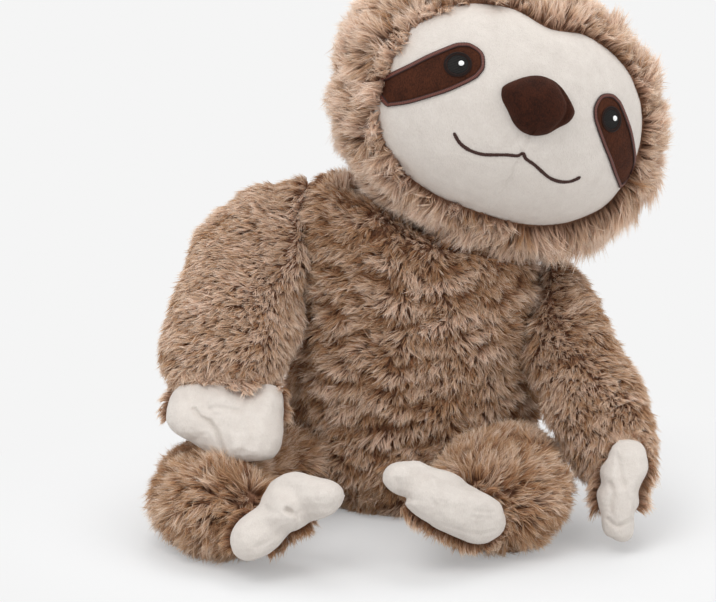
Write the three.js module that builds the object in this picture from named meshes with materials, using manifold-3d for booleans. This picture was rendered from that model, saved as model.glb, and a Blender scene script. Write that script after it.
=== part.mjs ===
// Plush sloth sitting on the floor: pile cloth bags filled with fibre, a cream face sewn into a
// hood, and cream paws. Millimetres, +Z up, the toy faces -Y and its own right side is at -X.
// The origin is on the floor, on the torso's flat seat.
import * as THREE from 'three';
import { ParametricGeometry } from 'three/addons/geometries/ParametricGeometry.js';
import { mergeVertices } from 'three/addons/utils/BufferGeometryUtils.js';
import Module from 'manifold-3d';

const wasm = await Module();
wasm.setup();

// Cloth, clearances and cuts
const seamGap = 0.3;
const swingGap = 0.8;
const plushWall = 3;
const seatTrim = 0.5;
const cutDepth = 400;
const weldDistance = 0.0001;

// Torso
const torsoHeight = 195;
const torsoWidth = 138;
const torsoDepth = 106;
const torsoShift = 2;
const torsoWidthShares = [0.98, 1, 1.01, 1, 1, 0.99, 0.96];
const torsoDepthShares = [0.98, 1.04, 1.06, 1, 0.92, 0.84, 0.78];
const torsoSeatShare = 0.62;
const torsoSeatFullness = 5;
const torsoTopFullness = 4;

// Pellet bag in the seat
const pelletBagWidth = 92;
const pelletBagDepth = 70;
const pelletBagHeight = 26;

// Neck: the ball of filling that the head turns and tilts on
const neckSide = 20;
const neckDrop = 38;
const neckDiameter = 50;

// Head
const headWidth = 184;
const headHeight = 151;
const headDepth = 132;
const headForward = 20;
const headSeat = 6;
const headWidthShares = [1, 1.02, 1.01, 0.98, 0.95];
const headDepthShares = [1, 1.01, 1.01, 1, 0.98];
const headFullness = 2.1;
const headRoll = THREE.MathUtils.degToRad(18.4);
const headYaw = THREE.MathUtils.degToRad(11);
const headPitch = THREE.MathUtils.degToRad(-10);
const headTurnStops = [-20, 0, 20];
const headTiltStops = [-10, -5, 0, 2];
const headSweepMargin = 2;

// Face panel
const faceWidth = 149;
const faceHeight = 105;
const faceDrop = 5;
const faceLean = THREE.MathUtils.degToRad(2.5);
const faceCrown = 3;
const faceSetback = 5;
const faceWall = 2.4;
const faceShares = [
  [0, 0.924], [0.268, 0.994], [0.51, 0.94], [0.69, 0.83], [0.805, 0.695], [0.902, 0.533], [0.966, 0.305],
  [0.99, 0.095], [0.97, -0.324], [0.92, -0.533], [0.825, -0.676], [0.67, -0.823], [0.483, -0.931],
  [0.295, -0.983], [0, -1],
];

// Eyes
const patchLength = 54;
const patchWidth = 20.6;
const patchSide = 34.1;
const patchRise = 19.9;
const patchSlope = THREE.MathUtils.degToRad(-44);
const patchShares = [
  [0, 0], [0.05, 0.62], [0.12, 0.86], [0.2, 0.97], [0.45, 1], [0.64, 0.92], [0.82, 0.82], [0.96, 0.64], [1, 0.5],
];
const patchThickness = 1.2;
const rimWidth = 1.8;
const rimThickness = 1.7;
const pupilAlong = 14.3;
const pupilDiameter = 13.6;
const pupilThickness = 0.8;
const glintDiameter = 3.6;
const glintSide = 1.4;
const glintRise = 1;
const glintThickness = 0.5;

// Nose
const noseWidth = 41;
const noseHeight = 31;
const noseDepth = 26;
const noseRise = 2.8;
const noseFullness = 0.75;
const noseShares = [
  [1, 0.09], [0.97, 0.29], [0.77, 0.55], [0.4, 0.88], [0, 1], [-0.4, 0.88], [-0.77, 0.55], [-0.97, 0.29],
  [-1, 0.09], [-0.92, -0.18], [-0.71, -0.46], [-0.47, -0.78], [-0.23, -0.95], [0, -1], [0.23, -0.95],
  [0.47, -0.78], [0.71, -0.46], [0.92, -0.18],
];

// Mouth
const mouthWidth = 74.6;
const mouthHeight = 7.4;
const mouthDrop = 22.8;
const mouthThickness = 1.5;
const mouthRelief = 1;
const mouthShares = [
  [0, 0], [0.067, -0.27], [0.215, -0.46], [0.375, -0.74], [0.51, -0.95], [0.65, -1], [0.78, -0.9],
  [0.89, -0.65], [1, -0.16],
];

// Arms, each from its shoulder: out to the side, forward and down
const shoulderOutset = 9;
const shoulderBack = 2;
const armFullness = 3;
const armSwingStops = [0, 15, 30, 45, 60];
const rightArm = {
  side: -1,
  shoulderDrop: 47,
  out: 28,
  forward: 70,
  down: 72,
  width: 71,
  depth: 54,
  lineShares: [[-0.7, -0.1, -0.4], [0.08, 0.02, -0.04], [0.7, 0.32, 0.34], [1.06, 0.7, 0.72], [1.11, 1, 1.06]],
  widthShares: [0.94, 0.97, 0.96, 1, 1, 0.98],
};
const leftArm = {
  side: 1,
  shoulderDrop: 75,
  out: 28,
  forward: 88,
  down: 92,
  width: 52,
  depth: 48,
  lineShares: [[-0.75, -0.1, -0.18], [-0.14, 0.06, 0.08], [0.24, 0.4, 0.38], [0.72, 0.72, 0.7], [1.04, 0.98, 1.02]],
  widthShares: [0.94, 1, 1, 1, 1, 0.88],
};

// Hands: each finger runs from inside the arm's end to its own tip
const rightHand = {
  across: 62,
  reach: 38,
  drop: 24,
  thickness: 24,
  lobeShares: [
    { from: [-0.3, -0.21, -0.22], to: [-0.24, 1.05, 0.82], width: 0.55, thickness: 1 },
    { from: [0.18, -0.21, -0.22], to: [0.27, 0.8, 0.42], width: 0.48, thickness: 0.92 },
    { from: [0, -0.42, -0.35], to: [0, 0.8, 0.66], width: 0.8, thickness: 0.95 },
  ],
};
const leftHand = {
  across: 27,
  reach: 22,
  drop: 46,
  thickness: 24,
  lobeShares: [
    { from: [0.12, 0, -0.72], to: [-0.19, 1.08, 0.42], width: 0.96, thickness: 1 },
    { from: [0, 0.5, 0], to: [-0.06, 1.17, 0.45], width: 0.58, thickness: 0.66 },
    { from: [0.2, -0.3, -0.38], to: [0.16, 0, 0.14], width: 0.75, thickness: 0.84 },
  ],
};

// Legs, each from its hip: out to the side and forward
const hipInset = 24;
const hipForward = 12;
const legFullness = 3;
const rightLeg = {
  side: -1,
  out: 64,
  forward: 112,
  width: 64,
  height: 52,
  lineShares: [[0, 0], [0.6, 0.2], [0.97, 0.52], [0.95, 0.82], [0.66, 1.08]],
  widthShares: [1, 1, 1, 1.02, 0.94],
};
const leftLeg = {
  side: 1,
  out: -12,
  forward: 104,
  width: 74,
  height: 56,
  lineShares: [[0.25, 0], [0.08, 0.3], [0.08, 0.6], [0.58, 0.88], [1.08, 1.08]],
  widthShares: [0.88, 0.9, 0.94, 1.05, 1.04],
};
const legSplayStops = [0, 10, 20, 30];
const splayPivotOutset = 4;
const splayPivotForward = 30;
const legLiftStops = [0, 10, 20, 30, 40];
const liftPivotForward = 54;

// Feet: each toe runs from inside the leg's end to its own tip
const rightFoot = {
  across: 62,
  reach: 28,
  drop: 20,
  thickness: 27,
  lobeShares: [
    { from: [-0.06, -0.4, -0.42], to: [-0.75, 0.68, -1.08], width: 0.46, thickness: 1 },
    { from: [-0.28, -0.4, -0.82], to: [0.09, 1, 0.42], width: 0.47, thickness: 1 },
    { from: [-0.08, -0.54, -0.22], to: [-0.31, 0.9, -0.62], width: 0.5, thickness: 0.96 },
  ],
};
const leftFoot = {
  across: 76,
  reach: 30,
  drop: 24,
  thickness: 27,
  lobeShares: [
    { from: [0.12, 0, 0.25], to: [-0.52, 0.85, -0.86], width: 0.38, thickness: 1.05 },
    { from: [-0.36, 0.12, -0.76], to: [-0.69, 0.66, -1.13], width: 0.26, thickness: 0.74 },
    { from: [-0.05, -0.2, -0.2], to: [-0.45, 0.6, -0.94], width: 0.34, thickness: 1 },
  ],
};
const pawFullness = 2.4;

// Mesh counts
const bodySides = 20;
const bodyRings = 12;
const headSides = 24;
const headRings = 14;
const limbSides = 16;
const limbRings = 11;
const insideSides = 12;
const insideRings = 8;
const lobeSides = 12;
const lobeRings = 8;
const outlineSteps = 48;

// Finishes
const finishes = {
  brownPile: { color: 0x8f735c, roughness: 0.95, metalness: 0 },
  creamVelour: { color: 0xe6dfd8, roughness: 0.9, metalness: 0 },
  brownVelour: { color: 0x43241a, roughness: 0.9, metalness: 0 },
  rimThread: { color: 0x5a3026, roughness: 0.6, metalness: 0 },
  blackThread: { color: 0x2a2626, roughness: 0.5, metalness: 0 },
  whiteThread: { color: 0xf4f4f2, roughness: 0.5, metalness: 0 },
  brownThread: { color: 0x3a221c, roughness: 0.6, metalness: 0 },
  fibre: { color: 0xf2f0ea, roughness: 1, metalness: 0 },
  cotton: { color: 0xd8d2c4, roughness: 0.95, metalness: 0 },
};

// A closed geometry as a solid that can be joined and cut
function solidOf(geometry) {
  geometry.deleteAttribute('normal');
  geometry.deleteAttribute('uv');
  const merged = mergeVertices(geometry, weldDistance);
  const corners = Array.from(merged.index.array);
  const kept = [];
  for (let i = 0; i < corners.length; i += 3) {
    const [a, b, c] = corners.slice(i, i + 3);
    if (a !== b && b !== c && c !== a) kept.push(a, b, c);
  }
  return new wasm.Manifold(new wasm.Mesh({
    numProp: 3,
    vertProperties: new Float32Array(merged.attributes.position.array),
    triVerts: new Uint32Array(kept),
  }));
}

function join(solids) {
  return solids.reduce((whole, solid) => whole.add(solid));
}

function moved(solid, matrix) {
  return solid.transform(matrix.elements);
}

// The turn by some degrees about an axis through a point
function turnAbout(pivot, axis, degrees) {
  const turn = new THREE.Matrix4().makeRotationAxis(axis, THREE.MathUtils.degToRad(degrees));
  const there = new THREE.Matrix4().makeTranslation(pivot.x, pivot.y, pivot.z);
  const back = new THREE.Matrix4().makeTranslation(-pivot.x, -pivot.y, -pivot.z);
  return there.multiply(turn).multiply(back);
}

// The space that still pieces take, as seen by a piece that turns through the stops
function seenFrom(solid, pivot, axis, stops) {
  return join(stops.map((degrees) => moved(solid, turnAbout(pivot, axis, -degrees))));
}

// A value that swells and tapers along a form
function swell(shares) {
  return new THREE.SplineCurve(shares.map((share, i) => new THREE.Vector2(i, share)));
}

// A stuffed form along a line. Its width lies along X where the line allows, its ends are round,
// and inset draws the whole surface in. A flat start is a disc of that share of the width.
function stuffed({
  line, width, depth, widthShares = [1, 1], depthShares = [1, 1],
  startFullness, endFullness = startFullness, flatStart = 0, inset = 0, sides, rings,
}) {
  const across = new THREE.Vector3(1, 0, 0);
  const widths = swell(widthShares);
  const depths = swell(depthShares);
  const length = line.getLength();
  const firstRing = flatStart > 0 ? 1 : 0;
  const place = (u, v, target) => {
    const ring = Math.round(v * rings);
    const turn = Math.max(ring - firstRing, 0) / (rings - firstRing);
    const along = (1 - Math.cos(Math.PI * turn)) / 2;
    const fullness = along < 0.5 ? startFullness : endFullness;
    const round = (1 - Math.abs(2 * along - 1) ** fullness) ** (1 / fullness);
    const onDisc = firstRing === 1 && ring === 1;
    const spread = onDisc ? flatStart : round;
    const reached = inset + along * (length - 2 * inset);
    const share = THREE.MathUtils.clamp(reached / length, 0, 1);
    const tangent = line.getTangentAt(share);
    const middle = line.getPointAt(share).addScaledVector(tangent, reached - share * length);
    const back = tangent.clone().cross(across).normalize();
    const side = back.clone().cross(tangent);
    const halfWidth = (width * widths.getPoint(share).y / 2 - inset) * spread;
    const halfDepth = (depth * depths.getPoint(share).y / 2 - inset) * spread;
    target.copy(middle);
    target.addScaledVector(side, halfWidth * Math.cos(2 * Math.PI * u));
    target.addScaledVector(back, halfDepth * Math.sin(2 * Math.PI * u));
  };
  return solidOf(new ParametricGeometry(place, sides, rings));
}

function straight(from, to) {
  return new THREE.LineCurve3(from, to);
}

// A closed outline through points, mirrored where only its right half is given
function outline(points) {
  const curve = new THREE.CatmullRomCurve3(points.map(([x, y]) => new THREE.Vector3(x, y, 0)), true);
  return new THREE.Shape(curve.getPoints(outlineSteps).slice(0, -1).map(({ x, y }) => new THREE.Vector2(x, y)));
}

function mirrored(half) {
  const inner = half.slice(1, -1).reverse();
  return [...half, ...inner.map(([x, y]) => [-x, y])];
}

// A prism of an outline on the head's front, from its middle plane forward
function forwardPrism(shape) {
  const prism = new THREE.ExtrudeGeometry(shape, { depth: cutDepth, bevelEnabled: false });
  prism.rotateX(Math.PI / 2);
  prism.rotateY(faceLean);
  return solidOf(prism);
}

function box(width, depth, height) {
  return solidOf(new THREE.BoxGeometry(width, depth, height));
}

function ball(diameter) {
  return solidOf(new THREE.SphereGeometry(diameter / 2, insideSides * 2, insideSides));
}

// A mesh of a solid that is given in the group's own frame
function addPiece(group, name, solid, finish) {
  const { vertProperties, triVerts } = solid.getMesh();
  const geometry = new THREE.BufferGeometry();
  geometry.setAttribute('position', new THREE.BufferAttribute(vertProperties, 3));
  geometry.setIndex(new THREE.BufferAttribute(triVerts, 1));
  geometry.computeVertexNormals();
  const mesh = new THREE.Mesh(geometry, new THREE.MeshStandardMaterial(finishes[finish]));
  mesh.name = name;
  group.add(mesh);
}

// A group at a pivot, and the pieces that it carries, given in the toy's frame
function carrier(parent, pivot) {
  const group = new THREE.Group();
  group.position.copy(pivot);
  parent.add(group);
  return (name, solid, finish) => addPiece(group, name, solid.translate(pivot.clone().negate().toArray()), finish);
}

const floor = box(2 * cutDepth, 2 * cutDepth, cutDepth).translate([0, 0, -cutDepth / 2]);
const alongX = new THREE.Vector3(-1, 0, 0);
const downwards = new THREE.Vector3(0, 0, -1);

// Head frame: the neck's pivot, the head's tilt, and the head's middle above it
const neckPivot = new THREE.Vector3(neckSide, 0, torsoHeight - neckDrop);
const headAngles = new THREE.Euler(headPitch, headRoll, headYaw, 'YZX');
const headMiddle = new THREE.Vector3(0, -headForward, headHeight / 2 - headSeat);
const headFrame = new THREE.Matrix4().makeRotationFromEuler(headAngles).setPosition(neckPivot);
const headUp = new THREE.Vector3(0, 0, 1).transformDirection(headFrame);
const headBack = new THREE.Vector3(0, 1, 0).transformDirection(headFrame);
headFrame.multiply(new THREE.Matrix4().makeTranslation(headMiddle.x, headMiddle.y, headMiddle.z));

// The head's form about its own middle
function headForm(inset, sides, rings) {
  const end = new THREE.Vector3(0, 0, headHeight / 2);
  return stuffed({
    line: straight(end.clone().negate(), end),
    width: headWidth,
    depth: headDepth,
    widthShares: headWidthShares,
    depthShares: headDepthShares,
    startFullness: headFullness,
    inset,
    sides,
    rings,
  });
}

// The face's own form: it crowns forward in the middle and sinks into the hood at its edge
function faceForm(inset) {
  const end = new THREE.Vector3(0, 0, headHeight / 2 - faceSetback);
  return stuffed({
    line: straight(end.clone().negate(), end),
    width: headWidth - 2 * faceSetback,
    depth: headDepth + 2 * faceCrown,
    widthShares: headWidthShares,
    depthShares: headDepthShares,
    startFullness: headFullness,
    inset,
    sides: headSides,
    rings: headRings,
  });
}

// All places that the head can take as it turns and tilts, drawn in or out by an inset
function headSweep(inset) {
  const head = moved(headForm(inset, limbSides, limbRings), headFrame);
  const places = headTurnStops.flatMap((turn) => headTiltStops.map((tilt) => {
    const turned = turnAbout(neckPivot, headUp, turn);
    return moved(head, turned.multiply(turnAbout(neckPivot, headBack, tilt)));
  }));
  return join(places);
}

const neckBall = ball(neckDiameter).translate(neckPivot.toArray());
const neckSpace = ball(neckDiameter + 2 * swingGap).translate(neckPivot.toArray());
const headSpace = headSweep(-headSweepMargin);

// Torso: a bag of pile cloth, open at the neck, with its filling and the pellet bag in the seat
function torsoForm(inset, sides, rings) {
  const seat = new THREE.Vector3(torsoShift, 0, -seatTrim);
  const top = new THREE.Vector3(torsoShift, 0, torsoHeight);
  return stuffed({
    line: straight(seat, top),
    width: torsoWidth,
    depth: torsoDepth,
    widthShares: torsoWidthShares,
    depthShares: torsoDepthShares,
    startFullness: torsoSeatFullness,
    endFullness: torsoTopFullness,
    flatStart: torsoSeatShare,
    inset,
    sides,
    rings,
  });
}

const torsoWhole = torsoForm(0, bodySides, bodyRings).subtract(headSpace).subtract(floor);

// The pellet bag lies on the seat, inside the filling
function pelletBag(grow) {
  const low = plushWall + seamGap - seatTrim;
  return stuffed({
    line: straight(
      new THREE.Vector3(torsoShift, 0, low - grow),
      new THREE.Vector3(torsoShift, 0, low + pelletBagHeight + grow),
    ),
    width: pelletBagWidth + 2 * grow,
    depth: pelletBagDepth + 2 * grow,
    startFullness: torsoSeatFullness,
    endFullness: torsoTopFullness,
    flatStart: torsoSeatShare,
    sides: insideSides,
    rings: insideRings,
  });
}

function addTorso(add) {
  const hollow = torsoForm(plushWall, insideSides, insideRings)
    .subtract(headSweep(-headSweepMargin - plushWall));
  const filling = torsoForm(plushWall + seamGap, insideSides, insideRings)
    .subtract(headSweep(-headSweepMargin - plushWall - seamGap));
  add('torso_plush', torsoWhole.subtract(hollow).subtract(neckSpace), 'brownPile');
  add('torso_filling', filling.subtract(neckSpace).subtract(pelletBag(seamGap)), 'fibre');
  add('seat_pellet_bag', pelletBag(0), 'cotton');
}

// Face panel outline, drawn out or in all round
function faceOutline(grow) {
  const across = faceWidth / 2 + grow;
  const up = faceHeight / 2 + grow;
  return outline(mirrored(faceShares).map(([x, y]) => [x * across, y * up - faceDrop]));
}

// A cloth or stitched shape that lies on the face between two heights above it
function onFace(prism, low, high) {
  return faceForm(-high).subtract(faceForm(-low)).intersect(prism);
}

// Eye patch outline for one side of the face, drawn in by an inset
function patchOutline(side, inset) {
  const cos = Math.cos(patchSlope);
  const sin = Math.sin(patchSlope);
  const upper = patchShares.map(([along, half]) => [
    inset + along * (patchLength - 2 * inset),
    half * (patchWidth / 2 - inset),
  ]);
  const lower = upper.slice(1).reverse().map(([along, half]) => [along, -half]);
  return outline([...upper, ...lower].map(([along, half]) => [
    side * (patchSide + along * cos - half * sin),
    patchRise + along * sin + half * cos,
  ]));
}

function disc(x, y, diameter) {
  const shape = new THREE.Shape();
  shape.absarc(x, y, diameter / 2, 0, 2 * Math.PI);
  return shape;
}

function addEye(add, name, side) {
  const pupilSide = side * (patchSide + pupilAlong * Math.cos(patchSlope));
  const pupilRise = patchRise + pupilAlong * Math.sin(patchSlope);
  const withinFace = forwardPrism(faceOutline(-seamGap));
  const patch = forwardPrism(patchOutline(side, rimWidth + seamGap)).intersect(withinFace);
  const whole = forwardPrism(patchOutline(side, 0)).intersect(withinFace);
  const rim = whole.subtract(forwardPrism(patchOutline(side, rimWidth)));
  const pupil = forwardPrism(disc(pupilSide, pupilRise, pupilDiameter));
  const glint = forwardPrism(disc(pupilSide + glintSide, pupilRise + glintRise, glintDiameter));
  const pupilLow = patchThickness + 2 * seamGap;
  const glintLow = pupilLow + pupilThickness + seamGap;
  add(`${name}_eye_patch`, onFace(patch, seamGap, seamGap + patchThickness), 'brownVelour');
  add(`${name}_eye_rim`, onFace(rim, seamGap, seamGap + rimThickness), 'rimThread');
  add(`${name}_pupil`, onFace(pupil, pupilLow, pupilLow + pupilThickness), 'blackThread');
  add(`${name}_glint`, onFace(glint, glintLow, glintLow + glintThickness), 'whiteThread');
}

// The nose is a small cushion with a rounded three cornered outline
function nose() {
  const curve = new THREE.CatmullRomCurve3(noseShares.map(([x, z]) => new THREE.Vector3(x, 0, z)), true);
  const front = headDepth / 2 + faceCrown;
  const place = (u, v, target) => {
    const spread = Math.sin(Math.PI * v) ** noseFullness;
    const edge = curve.getPoint(u);
    target.set(
      edge.x * spread * noseWidth / 2,
      Math.cos(Math.PI * v) * noseDepth / 2 - front,
      edge.z * spread * noseHeight / 2 + noseRise,
    );
  };
  const pad = new ParametricGeometry(place, headSides, lobeRings);
  pad.rotateY(faceLean);
  return solidOf(pad);
}

// A stitched line of even width through points
function stitchedLine(points, thickness) {
  const curve = new THREE.SplineCurve(points.map(([x, y]) => new THREE.Vector2(x, y)));
  const steps = outlineSteps;
  const edge = (sign) => Array.from({ length: steps + 1 }, (_, i) => {
    const { x, y } = curve.getPoint(i / steps);
    return new THREE.Vector2(x, y + sign * thickness / 2);
  });
  return new THREE.Shape([...edge(-1), ...edge(1).reverse()]);
}

function addHead(add) {
  const toHead = headFrame.clone().invert();
  const neckHole = moved(neckSpace, toHead);
  const hollow = headForm(plushWall, insideSides, insideRings);
  const panelSpace = faceForm(-seamGap).subtract(faceForm(faceWall + seamGap))
    .intersect(forwardPrism(faceOutline(seamGap)));
  const hood = headForm(0, headSides, headRings).subtract(hollow).subtract(neckHole);
  const panel = faceForm(0).subtract(faceForm(faceWall)).intersect(forwardPrism(faceOutline(0)));
  const filling = headForm(plushWall + seamGap, insideSides, insideRings);
  add('head_hood', hood.subtract(forwardPrism(faceOutline(seamGap))), 'brownPile');
  add('face_panel', panel, 'creamVelour');
  add('head_filling', filling.subtract(panelSpace).subtract(neckHole), 'fibre');
  add('nose_pad', nose().subtract(faceForm(-seamGap)), 'brownVelour');
  addEye(add, 'right', -1);
  addEye(add, 'left', 1);
  const mouth = [...mouthShares.slice(1).reverse().map(([x, y]) => [-x, y]), ...mouthShares]
    .map(([x, y]) => [x * mouthWidth / 2, y * mouthHeight - mouthDrop]);
  const stitch = forwardPrism(stitchedLine(mouth, mouthThickness));
  add('mouth_stitch', onFace(stitch, seamGap, seamGap + mouthRelief), 'brownThread');
}

// Where a limb leaves the torso
function shoulderOf(arm) {
  const side = arm.side * (torsoWidth / 2 + shoulderOutset) + torsoShift;
  return new THREE.Vector3(side, shoulderBack, torsoHeight - arm.shoulderDrop);
}

function hipOf(leg) {
  const side = leg.side * (torsoWidth / 2 - hipInset) + torsoShift;
  return new THREE.Vector3(side, -hipForward, leg.height / 2 - seatTrim);
}

function armForm(arm, inset, sides, rings) {
  const shoulder = shoulderOf(arm);
  const line = new THREE.CatmullRomCurve3(arm.lineShares.map(([out, forward, down]) => new THREE.Vector3(
    shoulder.x + arm.side * out * arm.out,
    shoulder.y - forward * arm.forward,
    shoulder.z - down * arm.down,
  )));
  return stuffed({
    line, width: arm.width, depth: arm.depth, widthShares: arm.widthShares, startFullness: armFullness, inset,
    sides, rings,
  });
}

function legForm(leg, inset, sides, rings) {
  const hip = hipOf(leg);
  const line = new THREE.CatmullRomCurve3(leg.lineShares.map(([out, forward]) => new THREE.Vector3(
    hip.x + leg.side * out * leg.out,
    hip.y - forward * leg.forward,
    hip.z,
  )));
  return stuffed({
    line, width: leg.width, depth: leg.height, widthShares: leg.widthShares, startFullness: legFullness, inset,
    sides, rings,
  });
}

// A paw of stuffed lobes at the end of a limb. Shares run out to the side, forward and down.
function paw(end, side, sizes) {
  const at = ([out, forward, down]) => new THREE.Vector3(
    end.x + side * out * sizes.across,
    end.y - forward * sizes.reach,
    end.z - down * sizes.drop,
  );
  return join(sizes.lobeShares.map(({ from, to, width, thickness }) => stuffed({
    line: straight(at(from), at(to)),
    width: width * sizes.across,
    depth: thickness * sizes.thickness,
    startFullness: pawFullness,
    sides: lobeSides,
    rings: lobeRings,
  })));
}

function limbEnd(line, start, limb) {
  const [out, forward, down = 0] = line[line.length - 1];
  return new THREE.Vector3(
    start.x + limb.side * out * limb.out,
    start.y - forward * limb.forward,
    start.z - down * (limb.down ?? 0),
  );
}

const toy = new THREE.Group();
const torsoGroup = carrier(toy, new THREE.Vector3());
addTorso(torsoGroup);
const neck = carrier(toy, neckPivot);
neck('neck_filling', neckBall, 'fibre');

const head = new THREE.Group();
head.applyMatrix4(headFrame);
toy.add(head);
addHead((name, solid, finish) => addPiece(head, name, solid, finish));

function addArm(name, arm, hand, keepClear) {
  const shoulder = shoulderOf(arm);
  const space = seenFrom(
    join([torsoForm(-swingGap, bodySides, bodyRings), moved(headForm(-swingGap, headSides, headRings), headFrame)]),
    shoulder, alongX, armSwingStops,
  );
  const add = carrier(toy, shoulder);
  const whole = armForm(arm, 0, limbSides, limbRings).subtract(space).subtract(floor);
  const hollow = armForm(arm, plushWall, insideSides, insideRings);
  const filling = armForm(arm, plushWall + seamGap, insideSides, insideRings).subtract(space);
  add(`${name}_arm_plush`, whole.subtract(hollow), 'brownPile');
  add(`${name}_arm_filling`, filling, 'fibre');
  const end = limbEnd(arm.lineShares, shoulder, arm);
  const handForm = paw(end, arm.side, hand).subtract(armForm(arm, -seamGap, limbSides, limbRings));
  add(`${name}_hand`, handForm.subtract(keepClear).subtract(floor), 'creamVelour');
}

function addLeg(name, leg, foot, pivot, axis, stops) {
  const space = seenFrom(join([torsoForm(-swingGap, bodySides, bodyRings), floor]), pivot, axis, stops);
  const add = carrier(toy, pivot);
  const whole = legForm(leg, 0, limbSides, limbRings).subtract(space);
  const hollow = legForm(leg, plushWall, insideSides, insideRings);
  const filling = legForm(leg, plushWall + seamGap, insideSides, insideRings).subtract(space);
  add(`${name}_leg_plush`, whole.subtract(hollow), 'brownPile');
  add(`${name}_leg_filling`, filling, 'fibre');
  const end = limbEnd(leg.lineShares, hipOf(leg), leg);
  const footForm = paw(end, leg.side, foot).subtract(legForm(leg, -seamGap, limbSides, limbRings));
  add(`${name}_foot`, footForm.subtract(floor), 'creamVelour');
}

const splayPivot = new THREE.Vector3(
  torsoShift - torsoWidth / 2 - splayPivotOutset,
  -splayPivotForward,
  hipOf(rightLeg).z,
);
const liftPivot = new THREE.Vector3(hipOf(leftLeg).x, -liftPivotForward, leftLeg.height);
addLeg('right', rightLeg, rightFoot, splayPivot, downwards, legSplayStops);
addLeg('left', leftLeg, leftFoot, liftPivot, alongX, legLiftStops);
const legSpace = join(legSplayStops.map((degrees) => moved(
  legForm(rightLeg, -swingGap, limbSides, limbRings),
  turnAbout(splayPivot, downwards, degrees),
)));
addArm('right', rightArm, rightHand, legSpace);
addArm('left', leftArm, leftHand, legForm(leftLeg, -swingGap, limbSides, limbRings));

export default toy;
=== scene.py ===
"""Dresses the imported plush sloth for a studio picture.

The CAD model is the fixed frame. Each cloth bag gets a stuffed skin that grows long pile, the face,
nose and paws are stuffed velour, and the eyes and mouth are satin stitch. All sizes are in metres,
+Z is up, the toy faces -Y and its own right side is at -X.
"""

import logging
import math
from dataclasses import dataclass, field, replace
from enum import Enum
from typing import Callable, Sequence

import bpy
import numpy as np
from mathutils import Matrix, Vector
from mathutils.kdtree import KDTree


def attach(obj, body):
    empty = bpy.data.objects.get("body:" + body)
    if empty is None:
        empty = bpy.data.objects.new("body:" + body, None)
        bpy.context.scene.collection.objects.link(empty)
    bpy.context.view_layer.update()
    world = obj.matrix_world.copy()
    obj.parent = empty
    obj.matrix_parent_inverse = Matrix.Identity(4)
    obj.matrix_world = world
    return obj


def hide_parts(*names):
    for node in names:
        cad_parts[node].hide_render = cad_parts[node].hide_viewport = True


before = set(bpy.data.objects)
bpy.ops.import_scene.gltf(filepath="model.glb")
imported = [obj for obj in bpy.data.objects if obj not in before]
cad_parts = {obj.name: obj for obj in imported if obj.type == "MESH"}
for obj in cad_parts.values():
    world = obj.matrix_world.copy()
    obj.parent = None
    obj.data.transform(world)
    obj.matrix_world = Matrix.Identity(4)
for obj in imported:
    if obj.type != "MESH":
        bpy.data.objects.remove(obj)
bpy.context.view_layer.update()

logging.basicConfig(level=logging.INFO, format="%(message)s")
log = logging.getLogger("plush_sloth")

Array = np.ndarray
Field = Callable[[Array, Array], Array]
Piece = bpy.types.Object
Tree = bpy.types.NodeTree
Pair = tuple[float, float]
Triple = tuple[float, float, float]
Line = tuple[Pair, ...]

PILE_UV = "OFBake"
FLOOR_LIFT = 0.0006  # How far the lowest fibres and cloth stay above the floor.
MM = 0.001
X, Z = 0, 2  # Columns in rows of x, y, z.
WAVES_SUMMED = 7
WAVE_HEIGHT = 2.6  # What their sum seldom passes.


class Body(str, Enum):
    """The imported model's rigid bodies."""

    TORSO = "torso"
    NECK = "neck"
    HEAD = "head"
    RIGHT_ARM = "right_arm"
    LEFT_ARM = "left_arm"
    RIGHT_LEG = "right_leg"
    LEFT_LEG = "left_leg"


class Side(Enum):
    """The toy's own right and left, as the sign of X in the head's frame."""

    RIGHT = -1
    LEFT = 1


# Colours and nodes


def linear(hex_colour: str) -> tuple[float, float, float, float]:
    """Turns an sRGB hex colour to the linear values that a socket takes.

    Args:
        hex_colour: six hex digits.

    Returns:
        Red, green, blue and an alpha of 1.
    """
    values = [int(hex_colour[i : i + 2], 16) / 255 for i in (0, 2, 4)]
    red, green, blue = (v / 12.92 if v <= 0.04045 else ((v + 0.055) / 1.055) ** 2.4 for v in values)
    return red, green, blue, 1.0


def add_node(tree: Tree, kind: str, settings: dict | None = None, **sockets: object) -> bpy.types.Node:
    """Adds one node with its settings, values and links.

    Args:
        tree: the node tree.
        kind: the node's Blender type, without the ShaderNode prefix.
        settings: the node's own properties.
        sockets: input values by name or i0, i1 for an index, or an output socket to link from. A node
            stands for its first output.

    Returns:
        The node.
    """
    node = tree.nodes.new("ShaderNode" + kind)
    for key, value in (settings or {}).items():
        setattr(node, key, value)
    for key, value in sockets.items():
        name = key.replace("_", " ")
        target = node.inputs[int(key[1:])] if key[0] == "i" and key[1:].isdigit() else node.inputs[name]
        if isinstance(value, bpy.types.Node):
            value = value.outputs[0]
        if isinstance(value, bpy.types.NodeSocket):
            tree.links.new(value, target)
        else:
            target.default_value = value
    return node


def colour_ramp(tree: Tree, value: bpy.types.Node, stops: Sequence[tuple[float, str]]) -> bpy.types.Node:
    """Adds a ramp between sRGB colours.

    Args:
        tree: the node tree.
        value: what the ramp reads.
        stops: each place from 0 to 1 and its hex colour.

    Returns:
        The ramp.
    """
    node = add_node(tree, "ValToRGB", i0=value)
    elements = node.color_ramp.elements
    while len(elements) < len(stops):
        elements.new(0.5)
    for element, (place, colour) in zip(elements, stops):
        element.position = place
        element.color = linear(colour)
    return node


def new_material(name: str) -> tuple[bpy.types.Material, Tree]:
    """Makes an empty node material.

    Args:
        name: the material's name.

    Returns:
        The material and its node tree.
    """
    material = bpy.data.materials.new(name)
    material.use_nodes = True
    material.node_tree.nodes.clear()
    return material, material.node_tree


# Finishes


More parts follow.
